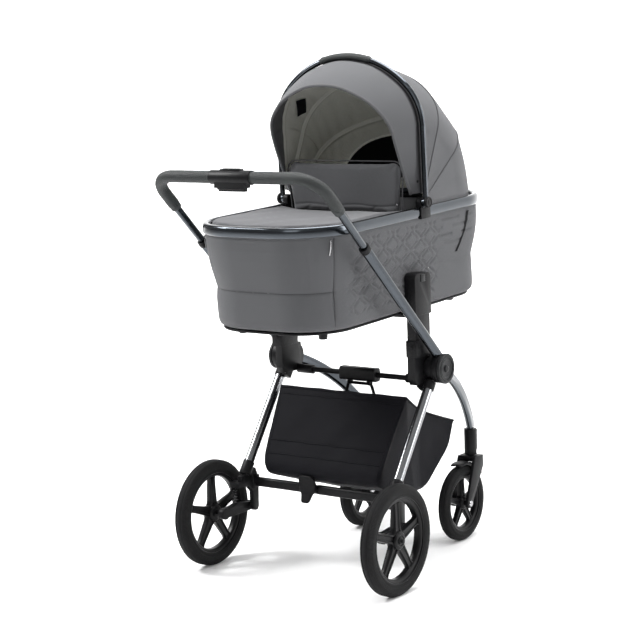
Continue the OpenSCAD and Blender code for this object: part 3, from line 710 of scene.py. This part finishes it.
# ---------------------------------------------------------------- pull loop: folded webbing on its bar
loop = []
corners = [(-36, 462.5), (36, 462.5), (46, 431.5), (-46, 431.5)]
for k, (x, z) in enumerate(corners):
    (xa, za), (xb, zb) = corners[k - 1], corners[(k + 1) % 4]
    la, lb = math.hypot(xa - x, za - z), math.hypot(xb - x, zb - z)
    for t in np.linspace(0, 1, 7):
        a, b = 8 * (1 - t) ** 2, 8 * t ** 2
        loop.append(P(x + a * (xa - x) / la + b * (xb - x) / lb, HUB[0], z + a * (za - z) / la + b * (zb - z) / lb))
strap = tube("loop_webbing", loop, 0.0042, WEB, "fold_loop", 12, True)
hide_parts("pull_loop")

# ---------------------------------------------------------------- basket
PROF = [(203, 452), (86, 262), (96, 240), (120, 232), (268, 182), (364, 177), (475, 264), (503, 335)]


def resample(pts, n):
    p = np.array(pts, float)
    d = np.r_[0, np.cumsum(np.linalg.norm(np.diff(p, axis=0), axis=1))]
    t = np.linspace(0, d[-1], n)
    q = np.stack([np.interp(t, d, p[:, k]) for k in range(p.shape[1])], 1)
    return q


def smooth_line(q, times):
    q = q.copy()
    for _ in range(times):
        q[1:-1] = 0.25 * q[:-2] + 0.5 * q[1:-1] + 0.25 * q[2:]
    return q


line = resample(PROF, 120)
body_line = smooth_line(line, 10)
top_a, top_b = np.array((203.0, 452.0)), np.array((503.0, 335.0))


def basket_half(y, z):
    return min(178 + (z - 170) / 282 * 22, lerp(y, (200, 336, 510), (200, 153, 153)))


rows, hem_l, hem_r = [], [], []
NS, NB = 30, 46
for i, (y, z) in enumerate(body_line):
    f = i / (len(body_line) - 1)
    ft = min(1, max(0, (f - 0.22) / 0.70))
    te = top_a + (top_b - top_a) * ft
    sag = 7 * math.sin(math.pi * ft)
    te = te - np.array((0, sag))
    side_pts = []
    for k in range(NS):
        g = k / NS
        yy, zz = te[0] + (y - te[0]) * g, te[1] + (z - te[1]) * g
        ww = basket_half(yy, zz)
        depth = min(1, np.hypot(y - te[0], z - te[1]) / 90)
        slack = depth * math.sin(math.pi * min(1, g * 1.05))
        ww -= slack * (3.5 + 1.1 * math.sin(f * 17 + g * 4) + 0.5 * math.sin(f * 41 - g * 7))
        ww -= 8 * depth * max(0, (g - 0.9) / 0.1) ** 2
        side_pts.append((ww, yy, zz))
    bottom = []
    wc = side_pts[-1][0] - 7 * min(1, np.hypot(y - te[0], z - te[1]) / 60)
    for k in range(NB + 1):
        g = -1 + 2 * k / NB
        low = (1 - g * g)
        nz = -3.5 * low if 0.35 < f < 0.8 else 0
        ny = 0
        if f < 0.3:
            t = math.sin(math.pi * f / 0.3)
            ny = t * low * (2.5 + 1.3 * math.sin(g * 7 + f * 30))
        nz += 0.9 * math.sin(g * 13 + f * 40) * low
        bottom.append((g * wc, y + ny, z + nz))
    row = [(-a, b, c) for a, b, c in side_pts] + bottom + list(reversed(side_pts))
    rows.append([P(*q) for q in row])
    hem_l.append(P(-side_pts[0][0], side_pts[0][1], side_pts[0][2]))
    hem_r.append(P(side_pts[0][0], side_pts[0][1], side_pts[0][2]))
bask = grid("basket_bag", rows, BASK, "chassis")
so = bask.modifiers.new("t", "SOLIDIFY")
so.thickness, so.offset = 0.0016, 0
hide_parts("basket")
front = rows[-1]
back = rows[0]
trims = []
edge = hem_r[26:] + [front[k] for k in range(len(front) - 2, 0, -1)] + list(reversed(hem_l[26:]))
trims.append(tube("hem", edge, 0.0036, BASK, None, 8))
trims.append(tube("hem", [back[k] for k in range(NS, NS + NB + 1)], 0.0042, BASK, None, 8))
for f, r in ((3, 0.0009), (24, 0.0014), (30, 0.0012)):
    trims.append(tube("hem", [rows[f][k] + Vector((0, -0.0014, 0)) for k in range(NS, NS + NB + 1)], r, BASK,
                      None, 6))
for s in (1, -1):
    col = NS if s < 0 else NS + NB
    trims.append(tube("seam", [rows[i][col] for i in range(0, 118, 2)], 0.0016, BASK, None, 6))
o = join("basket_hems", trims, "chassis")


# ---------------------------------------------------------------- carrycot rim
RIMP_PROF = [(250, 5), (250.6, 3), (252, 1.7), (255, 0.8), (259, 0.25), (263.5, 0), (268, 0.3), (271.5, 1.0),
             (274.4, 2.4), (276.3, 4.4), (277, 7), (277, 10.5), (276.4, 14.3), (274, 16),
             (253, 16), (250.5, 14.3), (250, 11)]
base = plan(0, 30, 60, 24)
rows = [[C(x - nx * m, v - nv * m, w) for w, m in RIMP_PROF] for x, v, nx, nv in base]
o = grid("rim_band", rows, GUN, "cot", True, True, flip=True)
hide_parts("cot_rim")


# ---------------------------------------------------------------- carrycot body
def shell_in(x, v, nx, nv, m, s):
    return x - nx * (m + 20 * s), v - nv * (m + (25 if nv < 0 else 18) * s)


# the cover from the rim down: height, inset, share of the body's taper
PROF_W = [(252, 5.0, 0), (249.6, 5.4, 0), (249, 7.0, 0), (245, 6.2, 0), (238, 6, 0.05), (215, 5.0, 0.17),
          (190, 4.2, 0.36), (160, 4.2, 0.6), (135, 5.0, 0.82), (118, 5.6, 0.955), (115, 6.0, 0.985),
          (111.5, 7.2, 1), (108, 5.8, 1), (104, 5.2, 1), (84, 4.0, 1), (52, 4.2, 1), (34, 4.8, 1), (26, 6.2, 1),
          (20.5, 9.2, 1), (17, 14, 1), (15.0, 21, 1), (14.3, 30, 1), (14.2, 46, 1)]
pw = np.array(PROF_W, float)
d = np.r_[0, np.cumsum(np.hypot(np.diff(pw[:, 0]), np.diff(pw[:, 1] + 20 * pw[:, 2])))]
tt = np.unique(np.r_[d, np.linspace(0, d[-1], 86)])
pw = np.stack([np.interp(tt, d, pw[:, k]) for k in range(3)], 1)
base = plan(0, 56, 190, 56)
bx = np.array(base)
arc = np.r_[0, np.cumsum(np.hypot(*np.diff(np.vstack([bx, bx[:1]])[:, :2], axis=0).T))]


def ridge(p, q, scale, r, lo=0.12, hi=0.88):
    """Broken lines where p is whole: how deep a sewn stroke dents a point, 0 to 1."""
    d = abs(p - round(p)) * scale
    f = q % 1.0
    cut = min(1.0, max(0.0, (f - lo) / 0.05)) * min(1.0, max(0.0, (hi - f) / 0.05))
    return math.exp(-(d / r) ** 2) * cut


def quilt(v, w):
    """Embossed diamonds of double strokes, with level strokes towards the head end."""
    a, b = 88.0, 54.0
    p, q = v / a + (w - 170) / b, v / a - (w - 170) / b
    unit = a * b / math.hypot(a, b)
    dia = max(ridge(p, q, unit, 2.7), ridge(q, p, unit, 2.7), 0.8 * ridge(p + 0.22, q + 0.2, unit, 2.5, 0.2, 0.8),
              0.8 * ridge(q + 0.22, p + 0.2, unit, 2.5, 0.2, 0.8))
    level = ridge(w / 21.0, v / 130 + 0.37 * round(w / 21.0), 21.0, 2.2, 0.1, 0.8)
    edge = min(1, max(0, (w - 44) / 8)) * min(1, max(0, (238 - w) / 8))
    left = min(1, max(0, (v + 292) / 30)) * min(1, max(0, (142 - v) / 30))
    right = min(1, max(0, (v - 96) / 40)) * min(1, max(0, (300 - v) / 20)) * min(1, max(0, (w - 150) / 20))
    return edge * max(dia * left, level * right)


rows = []
for i, (x, v, nx, nv) in enumerate(base):
    u = arc[i]
    row = []
    for w, m, s in pw:
        if v > SEAM_V and 102 < w < 119:
            m = lerp(w, (102, 119), (5.3, 5.9))
        px, pv = shell_in(x, v, nx, nv, m, s)
        out = 0.0
        if abs(nx) > 0.6 and 30 < w < 248:
            out -= 3.6 * quilt(v, w)
        if 116 < w < 248:
            tv = math.sin(math.pi * (w - 116) / 132)
            out += 1.5 * tv * (math.sin(u / 74 + 1.3) * 0.6 + math.sin(u / 31 + w / 40) * 0.4)
            if abs(nx) > 0.6:
                out += 1.9 * tv * abs(nx)
            fold = math.exp(-((v + 235 - (w - 180) * 0.35) / 26) ** 2) * math.exp(-((w - 175) / 55) ** 2)
            out += 3.2 * fold * math.sin((v + 235 - (w - 180) * 0.35) / 13) * abs(nx)
            if nv < -0.5:
                pin = math.exp(-((x - 168) / 9) ** 2 - ((w - 215) / 28) ** 2)
                out -= 3.0 * pin
        if 16 < w < 109:
            out += 0.9 * math.sin(math.pi * (w - 16) / 93) * math.sin(u / 53 + w / 30)
        if abs(nx) > 0.2 and nv < 0.5 and 40 < w < 246:
            out -= 2.2 * math.exp(-((v - SEAM_V) / 2.2) ** 2)
        row.append(C(px + nx * out, pv + nv * out, w))
    rows.append(row)
body = grid("cot_cover", rows, FAB, "cot", True, False, flip=True)
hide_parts("cot_body")
ipw = [(249, 16.6, 0), (240, 15.2, 0.04), (200, 15.4, 0.22), (120, 15.8, 0.62), (60, 16.5, 0.98), (40, 20, 1),
       (32, 34, 1), (30.5, 90, 1), (30.5, 130, 1)]
rows = [[C(*shell_in(x, v, nx, nv, m + (0.8 * math.sin(i * 0.7) if 50 < w < 230 else 0), s), w) for w, m, s in ipw]
        for i, (x, v, nx, nv) in enumerate(plan(0, 26, 60, 22))]
inner = grid("cot_lining", rows, [LINING, FAB], "cot", True, False, index=lambda i, j: 1 if j < 2 else 0)

# piping, bottom binding, seams, zip
trims = []
pts = [C(*shell_in(x, v, nx, nv, 6.6, 1.0), SEAM_W) for x, v, nx, nv in base[::3] if v < SEAM_V]
trims.append(tube("pipe", pts, 0.0008, PIPE, None, 8))
for sx in (1, -1):
    pts = []
    for w in np.linspace(245, 26, 44):
        m, s = lerp(-w, -pw[:, 0], pw[:, 1]), lerp(-w, -pw[:, 0], pw[:, 2])
        xx, vv, nx, nv = min(base, key=lambda q: abs(q[1] - SEAM_V) + (0 if q[0] * sx > 0 else 999))
        px, pv = shell_in(xx, vv, nx, nv, m - 0.2, s)
        pts.append(C(px, pv, w))
    trims.append(tube("pipe", pts, 0.0011, PIPE, None, 6))
o = join("cot_piping", trims, "cot")
rows = [[C(*shell_in(x, v, nx, nv, m, 1.0), w) for w, m in ((14.6, 27), (13.6, 30), (13.4, 36), (13.4, 48))]
        for x, v, nx, nv in plan(0, 30, 60, 24)]
o = grid("bottom_binding", rows, BLACK_CLOTH, "cot", True, False, flip=True)
BODY_AT = list(base)


def on_body(sx, v, w, off=0.0):
    """A point on the cover's long side."""
    x0, v0, nx, nv = min(BODY_AT, key=lambda q: abs(q[1] - v) + (0 if q[0] * sx > 0 else 999))
    m, s = lerp(-w, -pw[:, 0], pw[:, 1]), lerp(-w, -pw[:, 0], pw[:, 2])
    px, pv = shell_in(x0, v0, nx, nv, m - off, s)
    return C(px, pv, w)


TAPE = ((-0.0045, -0.0006), (-0.004, 0.0006), (-0.0012, 0.0008), (0, -0.0012), (0.0012, 0.0008), (0.004, 0.0006),
        (0.0045, -0.0006))
TAB = ((0.0004, -0.0032), (0.0016, -0.0026), (0.0016, 0.0026), (0.0004, 0.0032), (-0.0004, 0.0026),
       (-0.0004, -0.0026))
for sx, nm in ((1, "right"), (-1, "left")):
    pts = [on_body(sx, 262 - 16 * t - 26 * t * t, 240 - 104 * t, 3.0) for t in np.linspace(0, 1, 22)]
    tape = grid("zip_tape_" + nm, [[p + Vector((sx * dz, dy, 0)) for dy, dz in TAPE] for p in pts], BLACK_CLOTH,
                "cot", False, False, flip=sx < 0)
    # puller hanging from the rim at the foot end
    a, b = on_body(sx, -335, 243, 2.0), on_body(sx, -338, 205, 2.2)
    link = [a + (b - a) * t + Vector((sx * 0.0012 * math.sin(math.pi * t), 0, 0)) for t in np.linspace(0, 1, 8)]
    lk = [tube("l", link[:3], 0.0012, STEEL, None, 8),
          grid("l", [[p + Vector((sx * dx, dy * 0.8, 0)) for dx, dy in TAB] for p in link[2:]], STEEL, None,
               False, True)]
    o = join("zip_puller_" + nm, lk, "cot")

# ---------------------------------------------------------------- mattress, apron, wind flap: swollen pads
def pad_mesh(name, outline, low, high, to_world, mat, edge=4.0):
    """A closed pad from an outline of (a, b), between two heights."""
    n = len(outline)
    cx, cy = sum(p[0] for p in outline) / n, sum(p[1] for p in outline) / n
    rows = []
    for f, h in ((0.02, low), (0.5, low), (0.985, low), (1, low + edge * 0.6), (1, high - edge * 0.6), (0.985, high),
                 (0.5, high), (0.02, high)):
        rows.append([to_world(cx + (x - cx) * f, cy + (y - cy) * f, h) for x, y in outline])
    o = grid(name, rows, mat, None, False, True)
    bm = bmesh.new()
    bm.from_mesh(o.data)
    bmesh.ops.contextual_create(bm, geom=[v for v in bm.verts[:n]])
    bmesh.ops.contextual_create(bm, geom=[v for v in bm.verts[-n:]])
    bmesh.ops.triangulate(bm, faces=bm.faces)
    bmesh.ops.recalc_face_normals(bm, faces=bm.faces)
    bm.to_mesh(o.data)
    bm.free()
    return o


def cut_plan(m, vmax):
    pts = [(x, v) for x, v, _, _ in plan(m, 20, 40, 24) if v < vmax]
    k = max(range(len(pts)), key=lambda i: (pts[i][0] - pts[i - 1][0]) ** 2 + (pts[i][1] - pts[i - 1][1]) ** 2)
    pts = pts[k:] + pts[:k]
    a, b = pts[-1], pts[0]
    return pts + [(a[0] + (b[0] - a[0]) * t, vmax) for t in np.linspace(0, 1, 40)]


matt = pad_mesh("mattress_pad", [(x, v) for x, v, _, _ in plan(58, 16, 30, 14)], 33, 59, C, MATT)
matt = puff(matt, 0.006, 4.0, 0.010)
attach(matt, "cot")
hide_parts("mattress")

apr = pad_mesh("apron_pad", cut_plan(17.5, 10), 268.0, 273.0, C, FAB3)
apr = puff(apr, 0.0045, 3.0, 0.006)
up = (C(0, 0, 1) - C(0, 0, 0)).normalized()
o0, ev = C(0, 0, 0), (C(0, 1, 0) - C(0, 0, 0)).normalized()


def local(p):
    q = p - o0
    return q.x * 1000, q.dot(ev) * 1000, q.dot(up) * 1000


TUCKS = [((-188, -300), (-40, 20)), ((-172, -340), (40, 20)), ((-140, -368), (120, 20)), ((-100, -384), (190, 0)),
         ((-50, -392), (200, -90)), ((10, -394), (202, -180))]


def dip(x, v):
    """How far the apron sinks at its free edge, in front of the wind flap."""
    f = min(1.0, max(0.0, (v + 110) / 110))
    return 13 * f * f * (3 - 2 * f) * max(0.0, 1 - (abs(x) / 204) ** 6)


for vtx in apr.data.vertices:
    x, v, w = local(vtx.co)
    if w > 270:
        dz = 0.0
        for k, ((x0, y0), (x1, y1)) in enumerate(TUCKS):
            dx, dy = x1 - x0, y1 - y0
            ln = math.hypot(dx, dy)
            t = ((x - x0) * dx + (y - y0) * dy) / ln
            e = ((x - x0) * dy - (y - y0) * dx) / ln + 5 * math.sin(t / 60 + k)
            fade = max(0, min(1, t / 50)) * max(0, min(1, (ln - t) / 60))
            dz += fade * (2.2 * math.exp(-(e / 7) ** 2) - 3.0 * math.exp(-((e - 9) / 4.5) ** 2))
        for px, py in ((-60, -395), (60, -395)):
            dz -= 3.0 * math.exp(-((x - px - (v - py) * 0.5) / 4.5) ** 2) * math.exp(-((v - py) / 26) ** 2)
        dz += 0.9 * math.sin(x / 37 + v / 51) + 0.6 * math.sin(x / 19 - v / 27)
        vtx.co += up * (dz / 1000)
    vtx.co -= up * (dip(x, v) / 1000)
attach(apr, "cot")
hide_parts("apron")
edge_pts = [C(x, v, 272.5 - dip(x, v)) for x, v in cut_plan(18.5, 9)]
o = tube("apron_piping", edge_pts, 0.0016, PIPE, "cot", 6, True)



def F(x, y, n):
    return C(x, 15 - n, 278 + y)


def flap_outline(m):
    pts = [(-172 + m, -19.0), (172 - m, -19.0)]
    r = 28 - m * 0.5
    for cx, a0 in ((182 - m - r, 0), (-182 + m + r, 90)):
        for t in np.linspace(0, 90, 9):
            a = math.radians(a0 + t)
            pts.append((cx + r * math.cos(a), 117 - m - r + r * math.sin(a)))
    q = np.array(pts + [pts[0]])
    dd = np.r_[0, np.cumsum(np.hypot(*np.diff(q, axis=0).T))]
    s = np.linspace(0, dd[-1], 190)[:-1]
    return list(zip(np.interp(s, dd, q[:, 0]), np.interp(s, dd, q[:, 1])))


flap = pad_mesh("wind_flap_pad", flap_outline(2.5), -3.4, 3.4, F, FAB3, 3.0)
flap = puff(flap, 0.0042, 4.0, 0.006)
fup = (F(0, 0, 1) - F(0, 0, 0)).normalized()
fy = (F(0, 1, 0) - F(0, 0, 0)).normalized()
f0 = F(0, 0, 0)
for vtx in flap.data.vertices:
    q = vtx.co - f0
    x, y, n = q.x * 1000, q.dot(fy) * 1000, q.dot(fup) * 1000
    g = math.exp(-((y - 2 - 2.2 * math.sin(x / 23)) / 3.2) ** 2)
    g2 = math.exp(-((abs(x) - 168) / 3.2) ** 2) * 0.8 * (1 if y < 108 else 0)
    wave = 1.4 * math.sin(x / 34 + 0.6) * math.sin(y / 45)
    vtx.co += fup * ((wave - math.copysign(1.7, n) * (g + g2)) / 1000)
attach(flap, "wind_flap")
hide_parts("wind_flap")
o = tube("wind_flap_piping", [F(x, y, 0) for x, y in flap_outline(0.6)], 0.0017, PIPE, "wind_flap", 6, True)
for sx in (1, -1):
    screw("snap_%s" % ("right" if sx > 0 else "left"), F(sx * 160, 6, 4.6), F(0, 0, 1) - F(0, 0, 0), 3.2, "wind_flap")


# ---------------------------------------------------------------- hood
def bow_profile(o, low=24.0, n_side=16, n_corner=16, n_top=46):
    """The U of the hood, drawn in by o: list of (across, height), right to left."""
    side_h = 190.0
    r = 150.0 - o
    R2 = 256.25 - o
    turn = math.radians(44.33)
    half = 226.0 - o
    out = [(half, low + (side_h - low) * k / n_side) for k in range(n_side)]
    for k in range(n_corner):
        a = turn * k / n_corner
        out.append((76 + r * math.cos(a), side_h + r * math.sin(a)))
    for k in range(n_top + 1):
        a = turn + (math.pi - 2 * turn) * k / n_top
        out.append((R2 * math.cos(a), 115.75 + R2 * math.sin(a)))
    out += [(-x, h) for x, h in reversed(out[: n_side + n_corner])]
    return out


def H(x, h, th, d=0.0):
    a = math.radians(th)
    return C(x, HOOD_V + h * math.cos(a) - d * math.sin(a), HOOD_W + h * math.sin(a) + d * math.cos(a))


def weights(o, fn):
    a = o.data.attributes["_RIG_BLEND"]
    a.data.foreach_set("value", [max(0.0, min(1.0, float(fn(v.co)))) for v in o.data.vertices])


def hood_weight(co):
    q = co - o0
    v, w = q.dot(ev) * 1000 - HOOD_V, q.dot(up) * 1000 - HOOD_W
    return math.degrees(math.atan2(w, v)) / 90.0


def hood_blend(o):
    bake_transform(o, "cot", "hood_front", start=tuple(H(0, 372, 0)), end=tuple(H(0, 372, 90)))
    weights(o, hood_weight)


BOWS = [0, 34, 64, 90, 112]


def hood_rows(o, thetas, sag, low=24.0, *steps):
    rows = []
    for th in thetas:
        k = max(i for i in range(4) if BOWS[i] <= max(0, th) or i == 0)
        f = (max(0, th) - BOWS[k]) / (BOWS[k + 1] - BOWS[k])
        dip = sag[k] * math.sin(math.pi * min(1, max(0, f))) ** 0.8 if 0 < f < 1 else 0
        vis = max(0, (th - 92) / 20) ** 1.2
        prof = bow_profile(o + 24 * vis, low, *steps)
        row = []
        for j, (x, h) in enumerate(prof):
            h *= 1 - 0.02 * vis
            g = min(1, max(0, (h - 30) / 150))
            nx, nh = (x / 226, 0.25) if h < 190 else (x / 226, 1)
            ln = math.hypot(nx, nh)
            w = dip * g + 0.5 * math.sin(j * 0.5 + th * 0.22) * g
            row.append(H(x - nx / ln * w, h - nh / ln * w, th + vis * (9 * (1 - h / 372) - 2)))
        rows.append(row)
    return rows


ths = [0, 0.8, 2, *np.linspace(4, 30, 13), 32.5, 33.4, 34, 34.6, 35.5, *np.linspace(38, 60, 12), 62.5, 63.4, 64, 64.6,
       65.5, *np.linspace(68, 86, 10), 88, 90, 92, *np.linspace(94, 109, 11), 110.4, 111.4, 112]
SAG = [4.0, 5.0, 3.5, 1.5]
rows = hood_rows(9.5, ths, SAG)
for i, th in enumerate(ths):
    for b in (34, 64):
        if abs(th - b) < 0.7:
            prof = bow_profile(9.5)
            for j, (x, h) in enumerate(prof):
                rows[i][j] = H(x * (1 - 0.0045), h - 1.2 * min(1, max(0, (h - 60) / 120)), th)
p0 = bow_profile(9.5)
drop = []
for w, k in ((276.2, 0), (277.5, 2.6), (281, 1.6), (285, 0.4)):
    drop.append([C(x * (1 - k / 240), HOOD_V + max(h, 26) - k, w) for x, h in p0])
rows = drop + rows
rows_skin = rows
skin = grid("hood_cover", rows, HOODF, None)
hood_blend(skin)
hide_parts("hood_front", "hood_mid", "hood_rear")
lths = list(np.arange(0, 90, 0.8)) + ths[ths.index(90):]
lrows = [[C(x, HOOD_V + max(h, 26), 279) for x, h in bow_profile(16.5, 24, 44, 40, 120)]]
lrows += hood_rows(16.5, lths, [5.5, 6.5, 5.0, 2.0], 24, 44, 40, 120)
along = np.r_[0, np.cumsum([(b - a).length * 1000 for a, b in zip(lrows[60], lrows[60][1:])])]


def parquet(a, b):
    """Blocks of parallel sewn lines, turned block by block."""
    p, q = (a + b) / 62, (a - b) / 62
    turned = (math.floor(p) + math.floor(q)) % 2
    f, g = (p % 1, q % 1) if turned else (q % 1, p % 1)
    d = abs(f * 4 - round(f * 4)) / 4 * 44
    ends = min(1, max(0, (g - 0.08) / 0.05)) * min(1, max(0, (0.92 - g) / 0.05))
    return math.exp(-(d / 1.9) ** 2) * ends


for i, row in enumerate(lrows[1:]):
    th = lths[i]
    for j in range(len(row)):
        deep = parquet(along[j], math.radians(th) * 340) if th < 89 else 0
        row[j] = row[j] + (row[j] - o0).normalized() * (0.0016 * deep)
lin = grid("hood_lining", lrows, [LINING, HOODF], None, flip=True,
           index=lambda i, j: 1 if i > 0 and lths[i - 1] >= 89 else 0)
hood_blend(lin)

# rolled front edge, from sleeve to sleeve
edge = [(a + b) / 2 for a, b in zip(rows_skin[-1], hood_rows(16.5, [112], SAG)[0])]
o = tube("hood_front_edge", edge, 0.0043, HOODF, "hood_front", 12)
# black bindings each side of the arch
for k, (d0, d1) in enumerate(((4, 13.5), (-13.5, -4))):
    pr = bow_profile(8.2)
    rows = [[H(x, h, 90, d) - (H(x, h, 90) - H(0, 180, 90)).normalized() * (0.0004 if d in (d0, d1) else 0)
             for d in np.linspace(d0, d1, 5)] for x, h in pr]
    o = grid("arch_binding_%d" % k, rows, BLACK_CLOTH, "hood_front", flip=False)
# seams over the bows, on the outside and inside
for k, th in enumerate((34, 64)):
    for nm, off, mat, r in (("outer", 9.6, PIPE, 0.0013), ("inner", 20.5, LINING_PIPE, 0.0024)):
        o = tube("hood_seam_%s_%d" % (nm, k), [H(x, h, th) for x, h in bow_profile(off)], r, mat, None, 8)
        hood_blend(o)
# bow casings inside the lining
for k, th in enumerate((34, 64, 90)):
    pr = bow_profile(20.0 if th < 90 else 17.5)
    rows = [[H(x, h, th, d) - (H(x, h, th) - H(0, 150, th)).normalized() * (dz / 1000) for d, dz in
             ((-9, -1.5), (-5, 1.5), (0, 2.4), (5, 1.5), (9, -1.5))] for x, h in pr]
    o = grid("bow_casing_%d" % k, rows, LINING, None)
    hood_blend(o)
# mesh window low at the head end
wx = np.linspace(-200, 200, 64)


def inner_top(x, o):
    """Height of the hood's inside at x, drawn in by o."""
    prof = [q for q in bow_profile(o) if q[1] > 60]
    return lerp(-x, [-q[0] for q in prof], [q[1] for q in prof])


rows = []
for f in np.linspace(0, 1, 14):
    row = []
    for x in wx:
        top = 3 + 22 * max(0.0, 1 - abs(x / 200) ** 6) ** 0.6
        row.append(H(x, inner_top(x, 22.5) - 1.5, 3 + (top - 3) * f))
    rows.append(row)
o = grid("window_mesh", rows, MESHB, None, flip=True)
hood_blend(o)
frame_pts = rows[0][::2] + [rows[0][-1]] + rows[13][-2:0:-1]
o = tube("window_binding", frame_pts, 0.0028, LINING_PIPE, None, 8, True)
hood_blend(o)
# small blank label sewn into the lining
tag = np.array([[(-182, 258, 85), (-174, 268, 78)], [(-199, 219, 77), (-193, 237, 70)]], float)
rows = [[H(*(tag[0, 0] * (1 - a) * (1 - b) + tag[0, 1] * a * (1 - b) + tag[1, 0] * (1 - a) * b + tag[1, 1] * a * b))
         for a in np.linspace(0, 1, 5)] for b in np.linspace(0, 1, 7)]
o = grid("lining_label", rows, BLACK_CLOTH)
hood_blend(o)
# arch handle cover
rows = []
M = 40
for i in range(M + 1):
    a = math.radians(90 - 18 + 36 * i / M)
    e = min(i, M - i)
    rr = 9.3 if e > 1 else (8.6 if e == 1 else 7.4)
    rr += 0.7 if e in (2, 3) else 0
    row = []
    for k in range(24):
        t = 2 * math.pi * k / 24
        R3 = 256.25 + rr * math.cos(t)
        row.append(H(R3 * math.cos(a), 115.75 + R3 * math.sin(a), 90, rr * math.sin(t)))
    rows.append(row)
o = grid("arch_grip_cover", rows, GRIP, "hood_front", False, True)
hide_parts("arch_grip")
# snaps near the pivots
for sx, s in ((1, "right"), (-1, "left")):
    screw("hood_snap_" + s, H(sx * 219.2, 60, 112), (sx, 0, 0), 4.0, "hood_front", BLACK)
    cap = [(sx * a, b) for a, b in ((-3, 0), (-3, 14), (3.5, 14.5), (5.0, 13.6), (5.4, 11.5), (4.6, 10.8), (4.6, 6),
                                    (5.2, 5), (5.4, 0))]
    o = revolve("pivot_cap_" + s, (sx * 231.5, 240 + HOOD_V * cp - HOOD_W * sp, 660 + HOOD_V * sp + HOOD_W * cp),
                cap if sx > 0 else cap[::-1], BLACK, "hood_front", 48)

# ---------------------------------------------------------------- floor, light, camera
fl = Mat("studio_floor", (0.93, 0.93, 0.93), 0.6)
fl.rough(fl.noise(6, 3), 0.5, 0.65)
fl.tint(fl.noise(0.6, 2), 0.985, 1.01)
bd = Mat("studio_backdrop", (0.93, 0.93, 0.93), 0.8, Emission_Color=(1, 1, 1, 1), Emission_Strength=1.0)
bd.tint(bd.noise(0.6, 2), 0.985, 1.01)
for nm, mt, prof in (("studio_floor", fl.m, [(-9, 0), (2.4, 0)]),
                     ("studio_backdrop", bd.m, [(2.4, 0), (6, 0), (8, 0.15), (9.5, 0.8), (10.4, 2.0), (10.8, 4.0),
                                                (10.8, 12)])):
    me = bpy.data.meshes.new(nm)
    me.from_pydata([(x, y, z) for y, z in prof for x in (-16, 16)], [],
                   [(2 * i, 2 * i + 1, 2 * i + 3, 2 * i + 2) for i in range(len(prof) - 1)])
    put(me, nm, mt)

world = bpy.data.worlds.new("studio")
scene.world = world
world.use_nodes = True
wt = world.node_tree
bg = wt.nodes["Background"]
sky = wt.nodes.new("ShaderNodeTexCoord")
up_z = wt.nodes.new("ShaderNodeSeparateXYZ")
ramp = wt.nodes.new("ShaderNodeMapRange")
seen = wt.nodes.new("ShaderNodeLightPath")
lift = wt.nodes.new("ShaderNodeMix")
for k, v in (("From Min", -0.1), ("From Max", 1.0), ("To Min", 0.22), ("To Max", 0.62)):
    ramp.inputs[k].default_value = v
lift.inputs[3].default_value = 1.0
wt.links.new(sky.outputs["Generated"], up_z.inputs[0])
wt.links.new(up_z.outputs[2], ramp.inputs["Value"])
wt.links.new(ramp.outputs[0], lift.inputs[2])
wt.links.new(seen.outputs["Is Camera Ray"], lift.inputs[0])
wt.links.new(lift.outputs[0], bg.inputs[1])
bg.inputs[0].default_value = (1, 1, 1, 1)


def area(name, pos, target, size, power, size_y=None):
    l = bpy.data.lights.new(name, "AREA")
    l.energy, l.size = power, size
    if size_y:
        l.shape, l.size_y = "RECTANGLE", size_y
    o = bpy.data.objects.new(name, l)
    scene.collection.objects.link(o)
    o.location = pos
    o.rotation_euler = (Vector(target) - Vector(pos)).to_track_quat("-Z", "Y").to_euler()
    return o


area("key", (-2.6, -1.4, 3.2), (0, 0, 0.7), 1.4, 170)
area("side", (3.3, 0.9, 1.7), (0, 0, 0.7), 0.9, 60, 2.4)
area("front", (1.0, -5.0, 2.6), (0, 0, 0.6), 2.2, 34)
area("top", (0.2, 0.3, 4.0), (0, 0, 0.5), 2.6, 210)

AZ, TILT, ROLL = math.radians(35.67), math.radians(8.47), math.radians(-1.84)
Fv = Vector((-math.sin(AZ) * math.cos(TILT), math.cos(AZ) * math.cos(TILT), -math.sin(TILT)))
Rv = Vector((math.cos(AZ), math.sin(AZ), 0))
Uv = Rv.cross(Fv)
R2 = math.cos(ROLL) * Rv + math.sin(ROLL) * Uv
U2 = -math.sin(ROLL) * Rv + math.cos(ROLL) * Uv
cam = bpy.data.cameras.new("camera")
cam.lens, cam.sensor_width = 103.84, 36
cam.clip_end = 60
co = bpy.data.objects.new("camera", cam)
scene.collection.objects.link(co)
m = Matrix((R2, U2, -Fv)).transposed().to_4x4()
m.translation = Vector((2.7296, -3.6896 - OY / 1000, 1.3527))
co.matrix_world = m
scene.camera = co

scene.view_settings.view_transform = "Standard"


bpy.context.view_layer.update()
